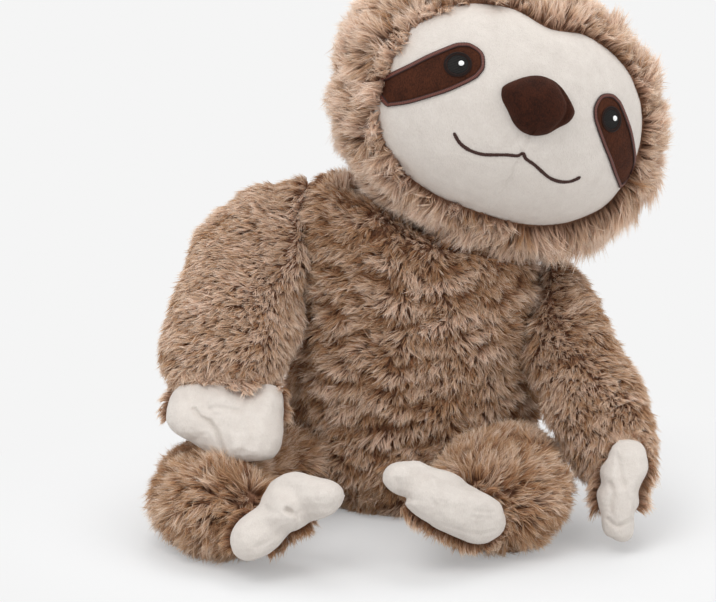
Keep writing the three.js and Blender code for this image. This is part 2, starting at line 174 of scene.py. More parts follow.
class Finish:
    """A finish that makes its own material."""

    name: str

    def surface(self, tree: Tree) -> bpy.types.Node:
        """Adds the nodes of the surface, and gives the last of them."""
        raise NotImplementedError

    def material(self) -> bpy.types.Material:
        """Makes the material.

        Returns:
            The material.
        """
        material, tree = new_material(self.name)
        add_node(tree, "OutputMaterial", Surface=self.surface(tree))
        return material


@dataclass(frozen=True)
class PileFinish(Finish):
    """Long pile: fine crimped polyester fibres, brushed out. Each strand is painted dark at its root, as the
    shade that lies deep in the pile, and paler towards its tip, as painted light where the tips catch the
    lamps. Strands differ
    in tone: the darker ones are the richer brown, and the palest are a greyer beige, partly painted to stand
    in for the washed out light on the lit hood. Light also passes through the thin fibres, so the pile glows
    softly."""

    root: str = "6b4831"
    low: str = "b29079"
    middle: str = "dec6b0"
    tip: str = "f6ebe0"
    deep_tint: str = "cfa587"
    rich_tint: str = "edd0ad"
    fair_tint: str = "fcf8f1"
    grey_tint: str = "f8f8fa"
    glow: float = 0.38
    name: str = "polyester_long_pile"

    def surface(self, tree: Tree) -> bpy.types.Node:
        """Adds the nodes, which read each strand's own tone and length from its UV map.

        Args:
            tree: the material's node tree.

        Returns:
            The surface's shader.
        """
        uv = add_node(tree, "UVMap", {"uv_map": PILE_UV})
        parts = add_node(tree, "SeparateXYZ", i0=uv)
        # The ramp from root to tip: painted shade at the root and painted light towards the tip.
        pale = colour_ramp(
            tree, parts.outputs[1], [(0.0, self.root), (0.3, self.low), (0.65, self.middle), (1.0, self.tip)]
        )
        # The ramp of tints by tone: the random tone's own colour, and at the pale end a greyer beige that
        # also paints the washed out light on the lit hood.
        tint = colour_ramp(
            tree, parts,
            [(0.05, self.deep_tint), (0.35, self.rich_tint), (0.62, self.fair_tint), (1.0, self.grey_tint)],
        )
        tinted = add_node(tree, "VectorMath", {"operation": "MULTIPLY"}, i0=pale, i1=tint)
        # The tone scales the colour: the random tone, and the tones of whole pieces and ripples, which paint
        # light and shade.
        tone = add_node(tree, "MapRange", i0=parts, i1=0.0, i2=1.0, i3=0.7, i4=1.26)
        shade = add_node(tree, "VectorMath", {"operation": "SCALE"}, i0=tinted, Scale=tone)
        fibre = add_node(
            tree, "BsdfPrincipled", Base_Color=shade, Roughness=0.6, Specular_IOR_Level=0.2,
            Sheen_Weight=0.25, Sheen_Roughness=0.45, Sheen_Tint=linear("f0e6de"),
        )
        through = add_node(tree, "BsdfTranslucent", Color=shade)
        return add_node(tree, "MixShader", i0=self.glow, i1=fibre, i2=through)


@dataclass(frozen=True)
class BackingFinish(Finish):
    """Knitted polyester backing with the roots of the pile: darker than the pile, matt and uneven."""

    colour: str = "96705a"
    deep: str = "765440"
    name: str = "knitted_pile_backing"

    def surface(self, tree: Tree) -> bpy.types.Node:
        """Adds the nodes. Root tufts stand about 1.5 mm apart.

        Args:
            tree: the material's node tree.

        Returns:
            The surface's shader.
        """
        place = add_node(tree, "TexCoord").outputs["Object"]
        tufts = add_node(tree, "TexNoise", Vector=place, Scale=1 / (1.5 * MM), Detail=2.0)
        colour = colour_ramp(tree, tufts, [(0.35, self.deep), (0.65, self.colour)])
        bump = add_node(tree, "Bump", Height=tufts, Strength=0.8, Distance=0.6 * MM)
        return add_node(
            tree, "BsdfPrincipled", Base_Color=colour, Roughness=0.95, Specular_IOR_Level=0.1,
            Normal=bump,
        )


@dataclass(frozen=True)
class VelourFinish(Finish):
    """Short brushed polyester velour: a soft matt nap that lies in cloudy patches, whose sheen is painted in
    as paler and darker colour, and lights up at its edges. Single fibres are too fine to show, so the nap is
    drawn about 0.6 mm coarse."""

    colour: str
    # The colour of nap that is turned from the light: painted shade.
    pressed: str
    edge_light: str
    name: str
    sheen: float = 0.35
    nap_share: float = 0.35

    def surface(self, tree: Tree) -> bpy.types.Node:
        """Adds the nodes for clouds of brushed nap 7 mm wide and fibres 0.6 mm coarse.

        Args:
            tree: the material's node tree.

        Returns:
            The surface's shader.
        """
        place = add_node(tree, "TexCoord").outputs["Object"]
        clouds = add_node(tree, "TexNoise", Vector=place, Scale=1 / (7 * MM), Detail=5.0, Roughness=0.7)
        brushed_down = add_node(tree, "VectorMath", {"operation": "MULTIPLY"}, i0=place, i1=(1.0, 1.0, 0.4))
        nap = add_node(tree, "TexNoise", Vector=brushed_down, Scale=1 / (0.6 * MM), Detail=3.0, Roughness=0.7)
        both = add_node(tree, "Mix", {"data_type": "FLOAT"}, i0=self.nap_share, i2=clouds, i3=nap)
        # Cloudy patches in paler and darker colour: painted sheen of the nap; the fine nap is its fibre
        # texture.
        colour = colour_ramp(tree, both, [(0.38, self.pressed), (0.6, self.colour)])
        soft = add_node(tree, "Bump", Height=nap, Strength=0.8, Distance=0.5 * MM)
        brushed = add_node(tree, "Bump", Height=clouds, Strength=0.5, Distance=1.0 * MM, Normal=soft)
        return add_node(
            tree, "BsdfPrincipled", Base_Color=colour, Roughness=0.88, Specular_IOR_Level=0.15,
            Sheen_Weight=self.sheen, Sheen_Roughness=0.45, Sheen_Tint=linear(self.edge_light),
            Normal=brushed,
        )


@dataclass(frozen=True)
class SatinStitchFinish(Finish):
    """Rayon embroidery thread laid side by side: each thread is a small shining ridge across the row, with
    painted shadow in the groove between two threads, and the row takes its edge colour down both of its
    edges, where the threads dive into the cloth. On the rim that colour is darker: painted shade down the
    sides of the rounded row.
    The threads lie 0.4 mm apart and are drawn 0.8 mm apart so that they show."""

    colour: str
    shadow: str
    edge: str
    name: str
    threads: float
    roughness: float = 0.5
    shine: float = 0.35

    def surface(self, tree: Tree) -> bpy.types.Node:
        """Adds the nodes, whose threads follow the stitched row by its UV map.

        Args:
            tree: the material's node tree.

        Returns:
            The surface's shader.
        """
        uv = add_node(tree, "UVMap", {"uv_map": "UVMap"})
        parts = add_node(tree, "SeparateXYZ", i0=uv)
        turns = self.threads * math.tau
        along = add_node(tree, "Math", {"operation": "MULTIPLY"}, i0=parts, i1=turns)
        ridge = add_node(tree, "Math", {"operation": "SINE"}, i0=along)
        level = add_node(tree, "MapRange", i0=ridge, i1=-1.0, i2=1.0, i3=0.0, i4=1.0)
        around = add_node(tree, "Math", {"operation": "MULTIPLY"}, i0=parts.outputs[1], i1=math.tau)
        side = add_node(tree, "Math", {"operation": "COSINE"}, i0=around)
        side = add_node(tree, "Math", {"operation": "ABSOLUTE"}, i0=side)
        # Painted shadow in the grooves between the threads.
        thread = colour_ramp(tree, level, [(0.0, self.shadow), (0.55, self.colour)])
        soft_step = {"interpolation_type": "SMOOTHSTEP"}
        # The edge colour down both sides of the row, which on the rim is darker painted shade.
        dive = add_node(tree, "MapRange", soft_step, i0=side, i1=0.35, i2=0.8)
        edge = linear(self.edge)
        colour = add_node(tree, "Mix", {"data_type": "RGBA"}, i0=dive, i6=thread, i7=edge)
        bump = add_node(tree, "Bump", Height=level, Strength=0.7, Distance=0.25 * MM)
        return add_node(
            tree, "BsdfPrincipled", Base_Color=colour.outputs[2], Roughness=self.roughness,
            Specular_IOR_Level=self.shine, Normal=bump,
        )


PILE = PileFinish()
BACKING = BackingFinish()
CREAM_VELOUR = VelourFinish("d6cec6", "ccc3bb", "fffaf4", "cream_brushed_velour", 0.25, 0.5)
NOSE_VELOUR = VelourFinish("3d1d10", "210e07", "87543f", "brown_brushed_velour", 0.22, 0.6)
PATCH_VELOUR = VelourFinish("4c2818", "2b150c", "744430", "brown_patch_velour", 0.15, 0.6)
# The rim's shadow and edge colours are painted shade between its threads and down its sides.
RIM_THREAD = SatinStitchFinish("6e3f34", "43221b", "2a110c", "reddish_brown_satin_stitch", 156)
EYE_THREAD = SatinStitchFinish("191513", "080706", "191513", "black_satin_stitch", 13, 0.6, 0.2)
EYE_EDGE_THREAD = SatinStitchFinish("1d100c", "0c0605", "2e1a14", "dark_brown_satin_stitch", 56, 0.6, 0.15)
GLINT_THREAD = SatinStitchFinish("ffffff", "e4e4e0", "ffffff", "white_satin_stitch", 4)
MOUTH_THREAD = SatinStitchFinish("4c2f27", "271511", "38201a", "brown_stitched_cord", 66, 0.55, 0.25)


# Mesh steps shared by all pieces


def choose(obj: Piece) -> None:
    """Makes one object the only selected and active one.

    Args:
        obj: the object.
    """
    bpy.ops.object.select_all(action="DESELECT")
    obj.select_set(True)
    bpy.context.view_layer.objects.active = obj


def modify(obj: Piece, kind: str, **settings: object) -> None:
    """Adds a modifier and applies it.

    Args:
        obj: the object.
        kind: the modifier's Blender type.
        settings: the modifier's own properties.
    """
    choose(obj)
    modifier = obj.modifiers.new(kind.lower(), kind)
    for key, value in settings.items():
        setattr(modifier, key, value)
    bpy.ops.object.modifier_apply(modifier=modifier.name)


def points_of(obj: Piece) -> Array:
    """Reads an object's vertices.

    Args:
        obj: the object.

    Returns:
        Rows of x, y, z.
    """
    values = np.empty(len(obj.data.vertices) * 3)
    obj.data.vertices.foreach_get("co", values)
    return values.reshape(-1, 3)


def normals_of(obj: Piece) -> Array:
    """Reads an object's vertex normals.

    Args:
        obj: the object.

    Returns:
        Rows of x, y, z.
    """
    values = np.empty(len(obj.data.vertices) * 3, np.float32)
    obj.data.vertex_normals.foreach_get("vector", values)
    return values.reshape(-1, 3).astype(float)


def set_points(obj: Piece, points: Array) -> None:
    """Moves an object's vertices to rows of x, y, z."""
    obj.data.vertices.foreach_set("co", np.ascontiguousarray(points, float).ravel())
    obj.data.update()


def weld(obj: Piece, distance: float = 1e-6, outwards: bool = True) -> None:
    """Merges doubled vertices and turns all faces outwards.

    Args:
        obj: the object.
        distance: how near vertices are merged.
        outwards: whether the faces are turned.
    """
    choose(obj)
    bpy.ops.object.mode_set(mode="EDIT")
    bpy.ops.mesh.select_all(action="SELECT")
    bpy.ops.mesh.remove_doubles(threshold=distance)
    if outwards:
        bpy.ops.mesh.normals_make_consistent(inside=False)
    bpy.ops.object.mode_set(mode="OBJECT")


def added(operator: Callable[..., object], name: str, **settings: object) -> Piece:
    """Adds a primitive with nothing else selected.

    Args:
        operator: the operator that adds it.
        name: its name.
        settings: the operator's own settings.

    Returns:
        The new object.
    """
    bpy.ops.object.select_all(action="DESELECT")
    operator(**settings)
    obj = bpy.context.object
    obj.name = obj.data.name = name
    return obj


def cad_twin(nodes: Sequence[str], name: str) -> Piece:
    """Joins copies of CAD nodes into one new object.

    Args:
        nodes: the CAD nodes to copy.
        name: the new object's name.

    Returns:
        The joined copy, with doubled vertices merged.
    """
    bpy.ops.object.select_all(action="DESELECT")
    twins = []
    for node in nodes:
        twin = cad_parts[node].copy()
        twin.data = twin.data.copy()
        twin.parent = None
        twin.hide_render = twin.hide_viewport = False
        for key in list(twin.keys()):
            del twin[key]
        bpy.context.scene.collection.objects.link(twin)
        twins.append(twin)
    for twin in twins:
        twin.select_set(True)
    form = twins[0]
    bpy.context.view_layer.objects.active = form
    if len(twins) > 1:
        bpy.ops.object.join()
    form.name = form.data.name = name
    form.data.materials.clear()
    weld(form, 1e-5, outwards=False)
    return form


def puff(obj: Piece, pressure: float, cap: float, steps: int = 20) -> None:
    """Fills a closed cloth skin by simulation, and holds back any point that moves too far.

    Args:
        obj: the closed mesh.
        pressure: the filling's pressure.
        cap: the furthest that a point may move.
        steps: the frames to run.
    """
    scene = bpy.context.scene
    before = points_of(obj)
    choose(obj)
    cloth = obj.modifiers.new("stuffing", "CLOTH")
    cloth.settings.use_pressure = True
    cloth.settings.uniform_pressure_force = pressure
    cloth.settings.effector_weights.gravity = 0
    cloth.point_cache.frame_start = 1
    cloth.point_cache.frame_end = steps
    for step in range(1, steps + 1):
        scene.frame_set(step)
    bpy.ops.object.modifier_apply(modifier=cloth.name)
    scene.frame_set(1)
    shift = points_of(obj) - before
    far = np.linalg.norm(shift, axis=1, keepdims=True)
    set_points(obj, before + shift * np.minimum(1, cap / np.maximum(far, 1e-9)))


def finish_piece(obj: Piece, body: Body, material: bpy.types.Material, slot: str, *nodes: str) -> None:
    """Gives a piece its material and body, and hides the CAD nodes that it stands for.

    Args:
        obj: the piece.
        body: the body that it rides on.
        material: its finish.
        slot: not used.
        nodes: the CAD nodes that it replaces.
    """
    obj.data.materials.clear()
    obj.data.materials.append(material)
    obj.data.polygons.foreach_set("use_smooth", [True] * len(obj.data.polygons))
    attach(obj, body.value)
    if nodes:
        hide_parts(*nodes)
    log.info("%s: %d vertices on %s", obj.name, len(obj.data.vertices), body.value)


def ramp(value: Array, start: float, length: float) -> Array:
    """Gives 0 up to a start, and then rises evenly to 1 over a length."""
    return np.clip((value - start) / length, 0, 1)


def band(value: Array, low: float, high: float) -> Array:
    """Gives 1 halfway between two values, falling softly to 0 at both of them."""
    return np.clip(np.sin(np.clip((value - low) / (high - low), 0, 1) * math.pi) * 1.5, 0, 1)


def waves(points: Array, length: float, seed: int) -> Array:
    """Gives a smooth random value from about -1 to 1 at each point.

    Args:
        points: rows of x, y, z.
        length: the usual distance between two hills.
        seed: picks the pattern.

    Returns:
        One value for each point.
    """
    rng = np.random.default_rng(seed)
    total = np.zeros(len(points))
    for _ in range(WAVES_SUMMED):
        turn = rng.normal(size=3)
        turn *= math.tau / (length * rng.uniform(0.7, 1.5) * np.linalg.norm(turn))
        total += np.sin(points @ turn + rng.uniform(0, math.tau))
    return total / WAVE_HEIGHT


def unit(vectors: Array) -> Array:
    """Gives each row a length of 1."""
    return vectors / np.maximum(np.linalg.norm(vectors, axis=1, keepdims=True), 1e-12)


def swell(obj: Piece, amount: Field) -> None:
    """Moves an object's vertices outwards and keeps them above the floor.

    Args:
        obj: the object.
        amount: gives how far in metres from places and normals.
    """
    points, normals = points_of(obj), normals_of(obj)
    moved = points + normals * amount(points, normals)[:, None]
    moved[:, 2] = np.maximum(moved[:, 2], np.minimum(points[:, 2], 2 * FLOOR_LIFT))
    set_points(obj, moved)


# Stuffed skins and their pile


@dataclass
class Skin:
    """A stuffed cloth bag, made from the CAD solids that it stands for."""

    name: str
    body: Body
    nodes: tuple[str, ...]
    inset: float = 4.4 * MM
    voxel: float = 4 * MM
    smoothing: int = 10
    pressure: float = 4.0
    cap: float = 1.5 * MM
    floor: float = 1.2 * MM
    seat_share: float = 3.0
    seat_stretch: float = 1.2

    def build(self) -> Piece:
        """Makes the skin, a little inside its CAD solid so that its pile reaches the true size.

        Returns:
            The skin.
        """
        skin = cad_twin(self.nodes, self.name)
        modify(skin, "REMESH", mode="VOXEL", voxel_size=self.voxel)
        modify(skin, "SMOOTH", factor=0.5, iterations=self.smoothing)
        modify(skin, "DISPLACE", strength=-self.inset, mid_level=0.0, direction="NORMAL")
        puff(skin, self.pressure, self.cap)
        modify(skin, "SMOOTH", factor=0.5, iterations=3)
        points = points_of(skin)
        height = points[:, 2]
        seated = self.floor + (height - self.inset) * self.seat_stretch
        low = height < self.seat_share * self.inset
        points[:, 2] = np.maximum(np.where(low, seated, height), self.floor)
        set_points(skin, points)
        return skin


@dataclass(frozen=True)
class Tousle:
    """How brushed or tousled a stretch of pile is, and its tone. Every piece is cut from one cloth, so a
    paler tone on a piece that catches more light and a darker tone on a piece in shade are painted light and
    shade. Angles are in degrees. Ripples are the level waves in which pressed pile lies, and each is wider
    than it is high."""

    tone: float = 0.5
    length: float = 11 * MM
    uneven: float = 0.08
    rise: float = 20.0
    fall: float = 82.0
    swirl: float = 35.0
    swirl_size: float = 24 * MM
    stray: float = 14.0
    curl: float = 0.2
    gather: float = 0.45
    tuft: float = 5.5 * MM
    tuft_pull: float = 0.3
    ripple: float = 8.0
    ripple_size: float = 10 * MM
    ripple_stretch: float = 3.0
    drift: float = 0.0
    drift_size: float = 42 * MM


@dataclass(frozen=True)
class Scatter:
    """How far locks and strands differ by chance, and in waves over the skin: angles in degrees, lengths,
    widths and tones in shares."""

    rise: float = 7.0
    fall: float = 6.0
    fall_wave: float = 8.0
    fall_wave_size: float = 20 * MM
    length: float = 0.12
    length_wave_size: float = 12 * MM
    tuft_tone: float = 0.1
    lock_tone: float = 0.12
    strand_tone: float = 0.1
    reach: Pair = (0.72, 1.12)
    stray: float = 0.55 * MM
    twist: float = 1.1
    width: Pair = (0.7, 1.25)


@dataclass
class Locks:
    """The pile's locks, each with its root, the skin's normal there, the direction along the skin that it
    lies in, its angles at root and tip, its length, its pull at the tip, its tone and its curl."""

    place: Array
    normal: Array
    flow: Array
    rise: Array
    fall: Array
    length: Array
    pull: Array
    tone: Array
    curl: Array

    def picked(self, order: Array) -> "Locks":
        """Gives the locks in another order, in which each can come more than once."""
        return Locks(**{name: value[order] for name, value in vars(self).items()})


@dataclass
class Pile:
    """Long pile on a skin: strands in small locks, and locks drawn into tufts. A strand is a thin kite
    that is bent once, wide at its bend and pointed at its tip."""

    skin: Piece
    body: Body
    comb: Field
    tousle: Tousle = field(default_factory=Tousle)
    keep: Field | None = None
    longer: Field | None = None
    seed: int = 1
    label: str = "pile"
    locks_per_cm2: float = 52.0
    strands_per_lock: int = 7
    lock_radius: float = 1.1 * MM
    width: float = 0.46 * MM
    bend: float = 0.45
    root_depth: float = 0.8 * MM
    rise_limits: Pair = (0, 60)
    fall_limits: Pair = (50, 100)
    length_limits: Pair = (0.5, 1.6)
    tone_limits: Pair = (0.03, 0.97)
    ripple_to_rise: float = 0.6
    ripple_to_share: float = 1 / 90
    scatter: Scatter = Scatter()
    piece_limit: int = 190000
    pieces: list[Piece] = field(default_factory=list)

    def roots(self, rng: np.random.Generator) -> tuple[Array, Array]:
        """Scatters the locks' roots evenly over the skin.

        Args:
            rng: the seeded generator.

        Returns:
            The roots and the skin's normals there.
        """
        mesh = self.skin.data
        mesh.calc_loop_triangles()
        corners = np.empty(len(mesh.loop_triangles) * 3, np.int32)
        mesh.loop_triangles.foreach_get("vertices", corners)
        corners = corners.reshape(-1, 3)
        points, normals = points_of(self.skin), normals_of(self.skin)
        a, b, c = (points[corners[:, i]] for i in range(3))
        areas = np.linalg.norm(np.cross(b - a, c - a), axis=1) / 2
        count = int(areas.sum() * 1e4 * self.locks_per_cm2)
        even = (np.arange(count) + rng.random(count)) / count
        picked = np.searchsorted(np.cumsum(areas) / areas.sum(), even)
        picked = np.minimum(picked, len(corners) - 1)
        u, v = np.sqrt(rng.random(count)), rng.random(count)
        shares = np.stack([1 - u, u * (1 - v), u * v], axis=1)[:, :, None]
        place = (points[corners[picked]] * shares).sum(axis=1)
        normal = unit((normals[corners[picked]] * shares).sum(axis=1))
        if self.keep is None:
            return place, normal
        kept = self.keep(place, normal) > rng.random(count)
        return place[kept], normal[kept]

    def lean(self, place: Array, normal: Array, rng: np.random.Generator) -> Array:
        """Combs and tousles the pile.

        Args:
            place: the locks' roots.
            normal: the skin's normals there.
            rng: the seeded generator.

        Returns:
            The direction along the skin that each lock lies in.
        """
        flow = self.comb(place, normal)
        flow = flow - normal * (flow * normal).sum(axis=1, keepdims=True)
        flow = unit(flow + 1e-4 * rng.normal(size=flow.shape))
        side = np.cross(normal, flow)
        turn = waves(place, self.tousle.swirl_size, self.seed + 11) * self.tousle.swirl
        turn = turn + waves(place, self.tousle.swirl_size / 3, self.seed + 12) * self.tousle.swirl * 0.5
        turn = np.radians(turn + rng.normal(size=len(place)) * self.tousle.stray)[:, None]
        return flow * np.cos(turn) + side * np.sin(turn)

    def gathered(self, place: Array, tips: Array, rng: np.random.Generator) -> tuple[Array, Array]:
        """Draws the locks of one tuft towards that tuft's own tip.

        Args:
            place: the locks' roots.
            tips: the locks' tips.
            rng: the seeded generator.

        Returns:
            Each lock's pull at its tip, and its tuft's number.
        """
        area = len(place) / self.locks_per_cm2 * 1e-4
        count = min(len(place), max(4, int(area / self.tousle.tuft**2)))
        heads = rng.choice(len(place), count, replace=False)
        tree = KDTree(count)
        for i, head in enumerate(heads):
            tree.insert(place[head], i)
        tree.balance()
        tuft = np.array([tree.find(p)[1] for p in place])
        return (tips[heads[tuft]] - tips) * self.tousle.tuft_pull, tuft

    def locks(self, rng: np.random.Generator) -> Locks:
        """Works out where the locks grow and how each of them lies.

        Args:
            rng: the seeded generator.

        Returns:
            The locks.
        """
        tousle, scatter = self.tousle, self.scatter
        place, normal = self.roots(rng)
        flow = self.lean(place, normal, rng)
        count = len(place)
        flat = place * np.array([1, 1, tousle.ripple_stretch])
        drift = 1 + waves(place, tousle.drift_size, self.seed + 16) * tousle.drift
        ripple = waves(flat, tousle.ripple_size * tousle.ripple_stretch, self.seed + 14) * drift
        ripple = ripple * tousle.ripple
        rise = tousle.rise + ripple * self.ripple_to_rise + rng.normal(size=count) * scatter.rise
        rise = np.radians(np.clip(rise, *self.rise_limits))
        fall_wave = waves(place, scatter.fall_wave_size, self.seed + 13) * scatter.fall_wave
        fall = tousle.fall + ripple + fall_wave + rng.normal(size=count) * scatter.fall
        fall = np.radians(np.clip(fall, *self.fall_limits))
        uneven = tousle.uneven * waves(place, scatter.length_wave_size, self.seed + 15)
        length = 1 + scatter.length * rng.normal(size=count) + uneven - ripple * self.ripple_to_share
        length = tousle.length * np.clip(length, *self.length_limits)
        if self.longer:
            length = length * self.longer(place, normal)
        tips = place + self.arc(normal, flow, rise, fall, length, 1.0)
        pull, tuft = self.gathered(place, tips, rng)
        # Pile that lies flatter and shorter in a ripple is drawn darker: painted shade in the ripple's
        # hollow.
        tone = tousle.tone - ripple * self.ripple_to_share
        tone += scatter.tuft_tone * rng.normal(size=tuft.max() + 1)[tuft]
        tone += scatter.lock_tone * rng.normal(size=count)
        curl = rng.normal(size=count) * tousle.curl
        return Locks(place, normal, flow, rise, fall, length, pull, tone, curl)

    def grow(self) -> list[Piece]:
        """Grows the whole pile and makes its pieces.

        Returns:
            The pieces.
        """
        rng = np.random.default_rng(self.seed)
        locks = self.locks(rng)
        own = locks.picked(np.repeat(np.arange(len(locks.place)), self.strands_per_lock))
        total = len(own.place)
        across = np.cross(own.normal, own.flow)
        spread = self.lock_radius * np.sqrt(rng.random(total))
        around = rng.random(total) * math.tau
        offset = own.flow * (spread * np.cos(around))[:, None] + across * (spread * np.sin(around))[:, None]
        reach = own.length * rng.uniform(*self.scatter.reach, total)
        stray = rng.normal(size=(total, 3)) * self.scatter.stray
        line = np.empty((total, 3, 3))
        for i, share in enumerate((0.0, self.bend, 1.0)):
            bow = self.arc(own.normal, own.flow, own.rise, own.fall, reach, share)
            gather = 1 - self.tousle.gather * share
            line[:, i] = own.place + bow + offset * gather + own.pull * share**1.4 + stray * share
            line[:, i] += across * (own.curl * reach * share**2)[:, None]
        line[:, 0] -= own.normal * self.root_depth
        shade = np.clip(own.tone + self.scatter.strand_tone * rng.normal(size=total), *self.tone_limits)
        self.make_pieces(line, own.normal, across, shade, rng)
        return self.pieces

    @staticmethod
    def arc(normal: Array, flow: Array, rise: Array, fall: Array, length: Array, share: float) -> Array:
        """Gives where a strand that bows from rise to fall has got to after a share of its length.

        Args:
            normal: the skin's normal at each root.
            flow: the direction along the skin that each strand lies in.
            rise: the angle from the normal at the root.
            fall: the same at the tip.
            length: each strand's length.
            share: how far along the strand, from 0 to 1.

        Returns:
            Rows of x, y, z from the root.
        """
        reached = rise + (fall - rise) * share
        up = (np.sin(reached) - np.sin(rise)) / (fall - rise)
        out = (np.cos(rise) - np.cos(reached)) / (fall - rise)
        return normal * (up * length)[:, None] + flow * (out * length)[:, None]

    def make_pieces(
        self, line: Array, normal: Array, across: Array, shade: Array, rng: np.random.Generator
    ) -> None:
        """Makes kite strands along the lines, in pieces of a sensible size.

        Args:
            line: each strand's root, bend and tip.
            normal: the skin's normal at each root.
            across: the direction along the skin and across each strand.
            shade: each strand's tone from 0 to 1.
            rng: the seeded generator.
        """
        total = len(line)
        twist = rng.uniform(-self.scatter.twist, self.scatter.twist, total)[:, None]
        facing = normal * np.cos(twist) + across * np.sin(twist)
        half = unit(np.cross(line[:, 2] - line[:, 0], facing))
        half *= (self.width * rng.uniform(*self.scatter.width, total) / 2)[:, None]
        verts = np.stack([line[:, 0], line[:, 1] + half, line[:, 1] - half, line[:, 2]], axis=1)
        verts[:, :, 2] = np.maximum(verts[:, :, 2], FLOOR_LIFT)
        along = np.array([0, self.bend, self.bend, 1])
        tones = shade[:, None] + np.array([0, 0.012, -0.012, 0])
        uv = np.clip(np.stack([tones, np.tile(along, (total, 1))], axis=2), 0.004, 0.996)
        chunks = math.ceil(total * 2 / self.piece_limit)
        material = bpy.data.materials.get(PILE.name) or PILE.material()
        for i, part in enumerate(np.array_split(np.arange(total), chunks)):
            name = f"{self.body.value}_{self.label}_{i + 1}"
            piece = self.strand_mesh(name, verts[part], uv[part])
            finish_piece(piece, self.body, material, "brown_pile_cloth")
            self.pieces.append(piece)

    @staticmethod
    def strand_mesh(name: str, verts: Array, uv: Array) -> Piece:
        """Makes one mesh of many kites, which no operator can model.

        Args:
            name: the piece's name.
            verts: each kite's root, two sides and tip.
            uv: the same for the UV map.

        Returns:
            The linked object.
        """
        total = len(verts)
        corners = (np.arange(total)[:, None] * 4 + np.array([0, 1, 2, 2, 1, 3])).ravel()
        mesh = bpy.data.meshes.new(name)
        mesh.vertices.add(total * 4)
        mesh.vertices.foreach_set("co", verts.astype(np.float32).ravel())
        mesh.loops.add(len(corners))
        mesh.loops.foreach_set("vertex_index", corners.astype(np.int32))
        mesh.polygons.add(total * 2)
        mesh.polygons.foreach_set("loop_start", np.arange(0, total * 6, 3, dtype=np.int32))
        layer = mesh.uv_layers.new(name=PILE_UV)
        layer.uv.foreach_set("vector", uv.reshape(-1, 2)[corners].astype(np.float32).ravel())
        mesh.update(calc_edges=True)
        obj = bpy.data.objects.new(name, mesh)
        bpy.context.scene.collection.objects.link(obj)
        return obj


def towards(x: float, y: float, z: float) -> Field:
    """Gives a comb that brushes the pile one way all over."""
    return lambda place, normal: np.broadcast_to(np.array([x, y, z], float), place.shape)


def blended(first: Field, second: Field, share: Callable[[Array, Array], Array]) -> Field:
    """Gives a comb that turns from one to another.

    Args:
        first: the comb where the share is 0.
        second: the comb where it is 1.
        share: gives the share at each place.

    Returns:
        The comb.
    """

    def comb(place: Array, normal: Array) -> Array:
        """Mixes both directions."""
        mix = np.clip(share(place, normal), 0, 1)[:, None]
        return first(place, normal) * (1 - mix) + second(place, normal) * mix

    return comb


def away_from(centre: Sequence[float], then: Sequence[float], mix: float) -> Field:
    """Gives a comb that brushes the pile away from a point, mixed with one way all over."""
    return lambda place, normal: unit(place - np.array(centre)) * (1 - mix) + np.array(then) * mix


# The head


@dataclass(frozen=True)
class HeadPlace:
    """Where the head's own frame lies: the neck's pivot, the head's tilt and its middle above it."""

    pivot: Triple = (20 * MM, 0.0, 157 * MM)
    middle: Triple = (0.0, -20 * MM, 69.5 * MM)
    pitch: float = -10.0
    roll: float = 18.4
    yaw: float = 11.0

    def matrix(self) -> Matrix:
        """Gives the head's frame in the toy's frame.

        Returns:
            The frame as a 4 by 4 matrix.
        """
        turn = (
            Matrix.Rotation(math.radians(self.roll), 4, "Y")
            @ Matrix.Rotation(math.radians(self.yaw), 4, "Z")
            @ Matrix.Rotation(math.radians(self.pitch), 4, "X")
        )
        return Matrix.Translation(self.pivot) @ turn @ Matrix.Translation(self.middle)

    def to_toy(self, points: Array) -> Array:
        """Turns rows of points from the head's frame to the toy's."""
        m = np.array(self.matrix())
        return points @ m[:3, :3].T + m[:3, 3]

    def to_head(self, points: Array) -> Array:
        """Turns rows of points from the toy's frame to the head's."""
        m = np.array(self.matrix())
        return (points - m[:3, 3]) @ m[:3, :3]

    def direction(self, vector: Sequence[float]) -> Array:
        """Turns a direction from the head's frame to the toy's."""
        return np.array(self.matrix())[:3, :3] @ np.array(vector, float)


def smooth_loop(points: Array, steps: int) -> Array:
    """Draws a closed smooth line through points.

    Args:
        points: the points in order.
        steps: how many places are worked out between each two.

    Returns:
        The line's places.
    """
    count = len(points)
    rows = []
    for i in range(count):
        a, b, c, d = (points[(i + k) % count] for k in (-1, 0, 1, 2))
        t = np.linspace(0, 1, steps, endpoint=False)[:, None]
        square, cube = 2 * a - 5 * b + 4 * c - d, 3 * b - a - 3 * c + d
        rows.append(0.5 * (2 * b + (c - a) * t + square * t**2 + cube * t**3))
    return np.concatenate(rows)


def smooth_line(points: Array, steps: int) -> Array:
    """Gives an open smooth line through points, with steps between each two."""
    ends = np.vstack([2 * points[0] - points[1], points, 2 * points[-1] - points[-2]])
    return smooth_loop(ends, steps)[steps : steps * len(points) + 1]


def walk(line: Array) -> Array:
    """Gives how far along a line each of its points lies, from 0 to 1."""
    walked = np.concatenate([[0], np.cumsum(np.linalg.norm(np.diff(line, axis=0), axis=1))])
    return walked / walked[-1]


def follow(line: Array, t: Array, step: float, closed: bool) -> tuple[Array, Array, Array, Array]:
    """Walks along a flat line.

    Args:
        line: the line's places.
        t: shares of its length from 0 to 1.
        step: how far behind and ahead its direction is taken from.
        closed: whether its end meets its start.

    Returns:
        Both coordinates at each share, and both parts of the line's direction there.
    """
    walked = walk(line)
    ahead, behind = t + step, t - step
    if closed:
        ahead, behind = ahead % 1, behind % 1
    first, second = (np.interp(t, walked, line[:, i]) for i in (0, 1))
    da, db = (np.interp(ahead, walked, line[:, i]) - np.interp(behind, walked, line[:, i]) for i in (0, 1))
    size = np.maximum(np.hypot(da, db), 1e-9)
    return first, second, da / size, db / size


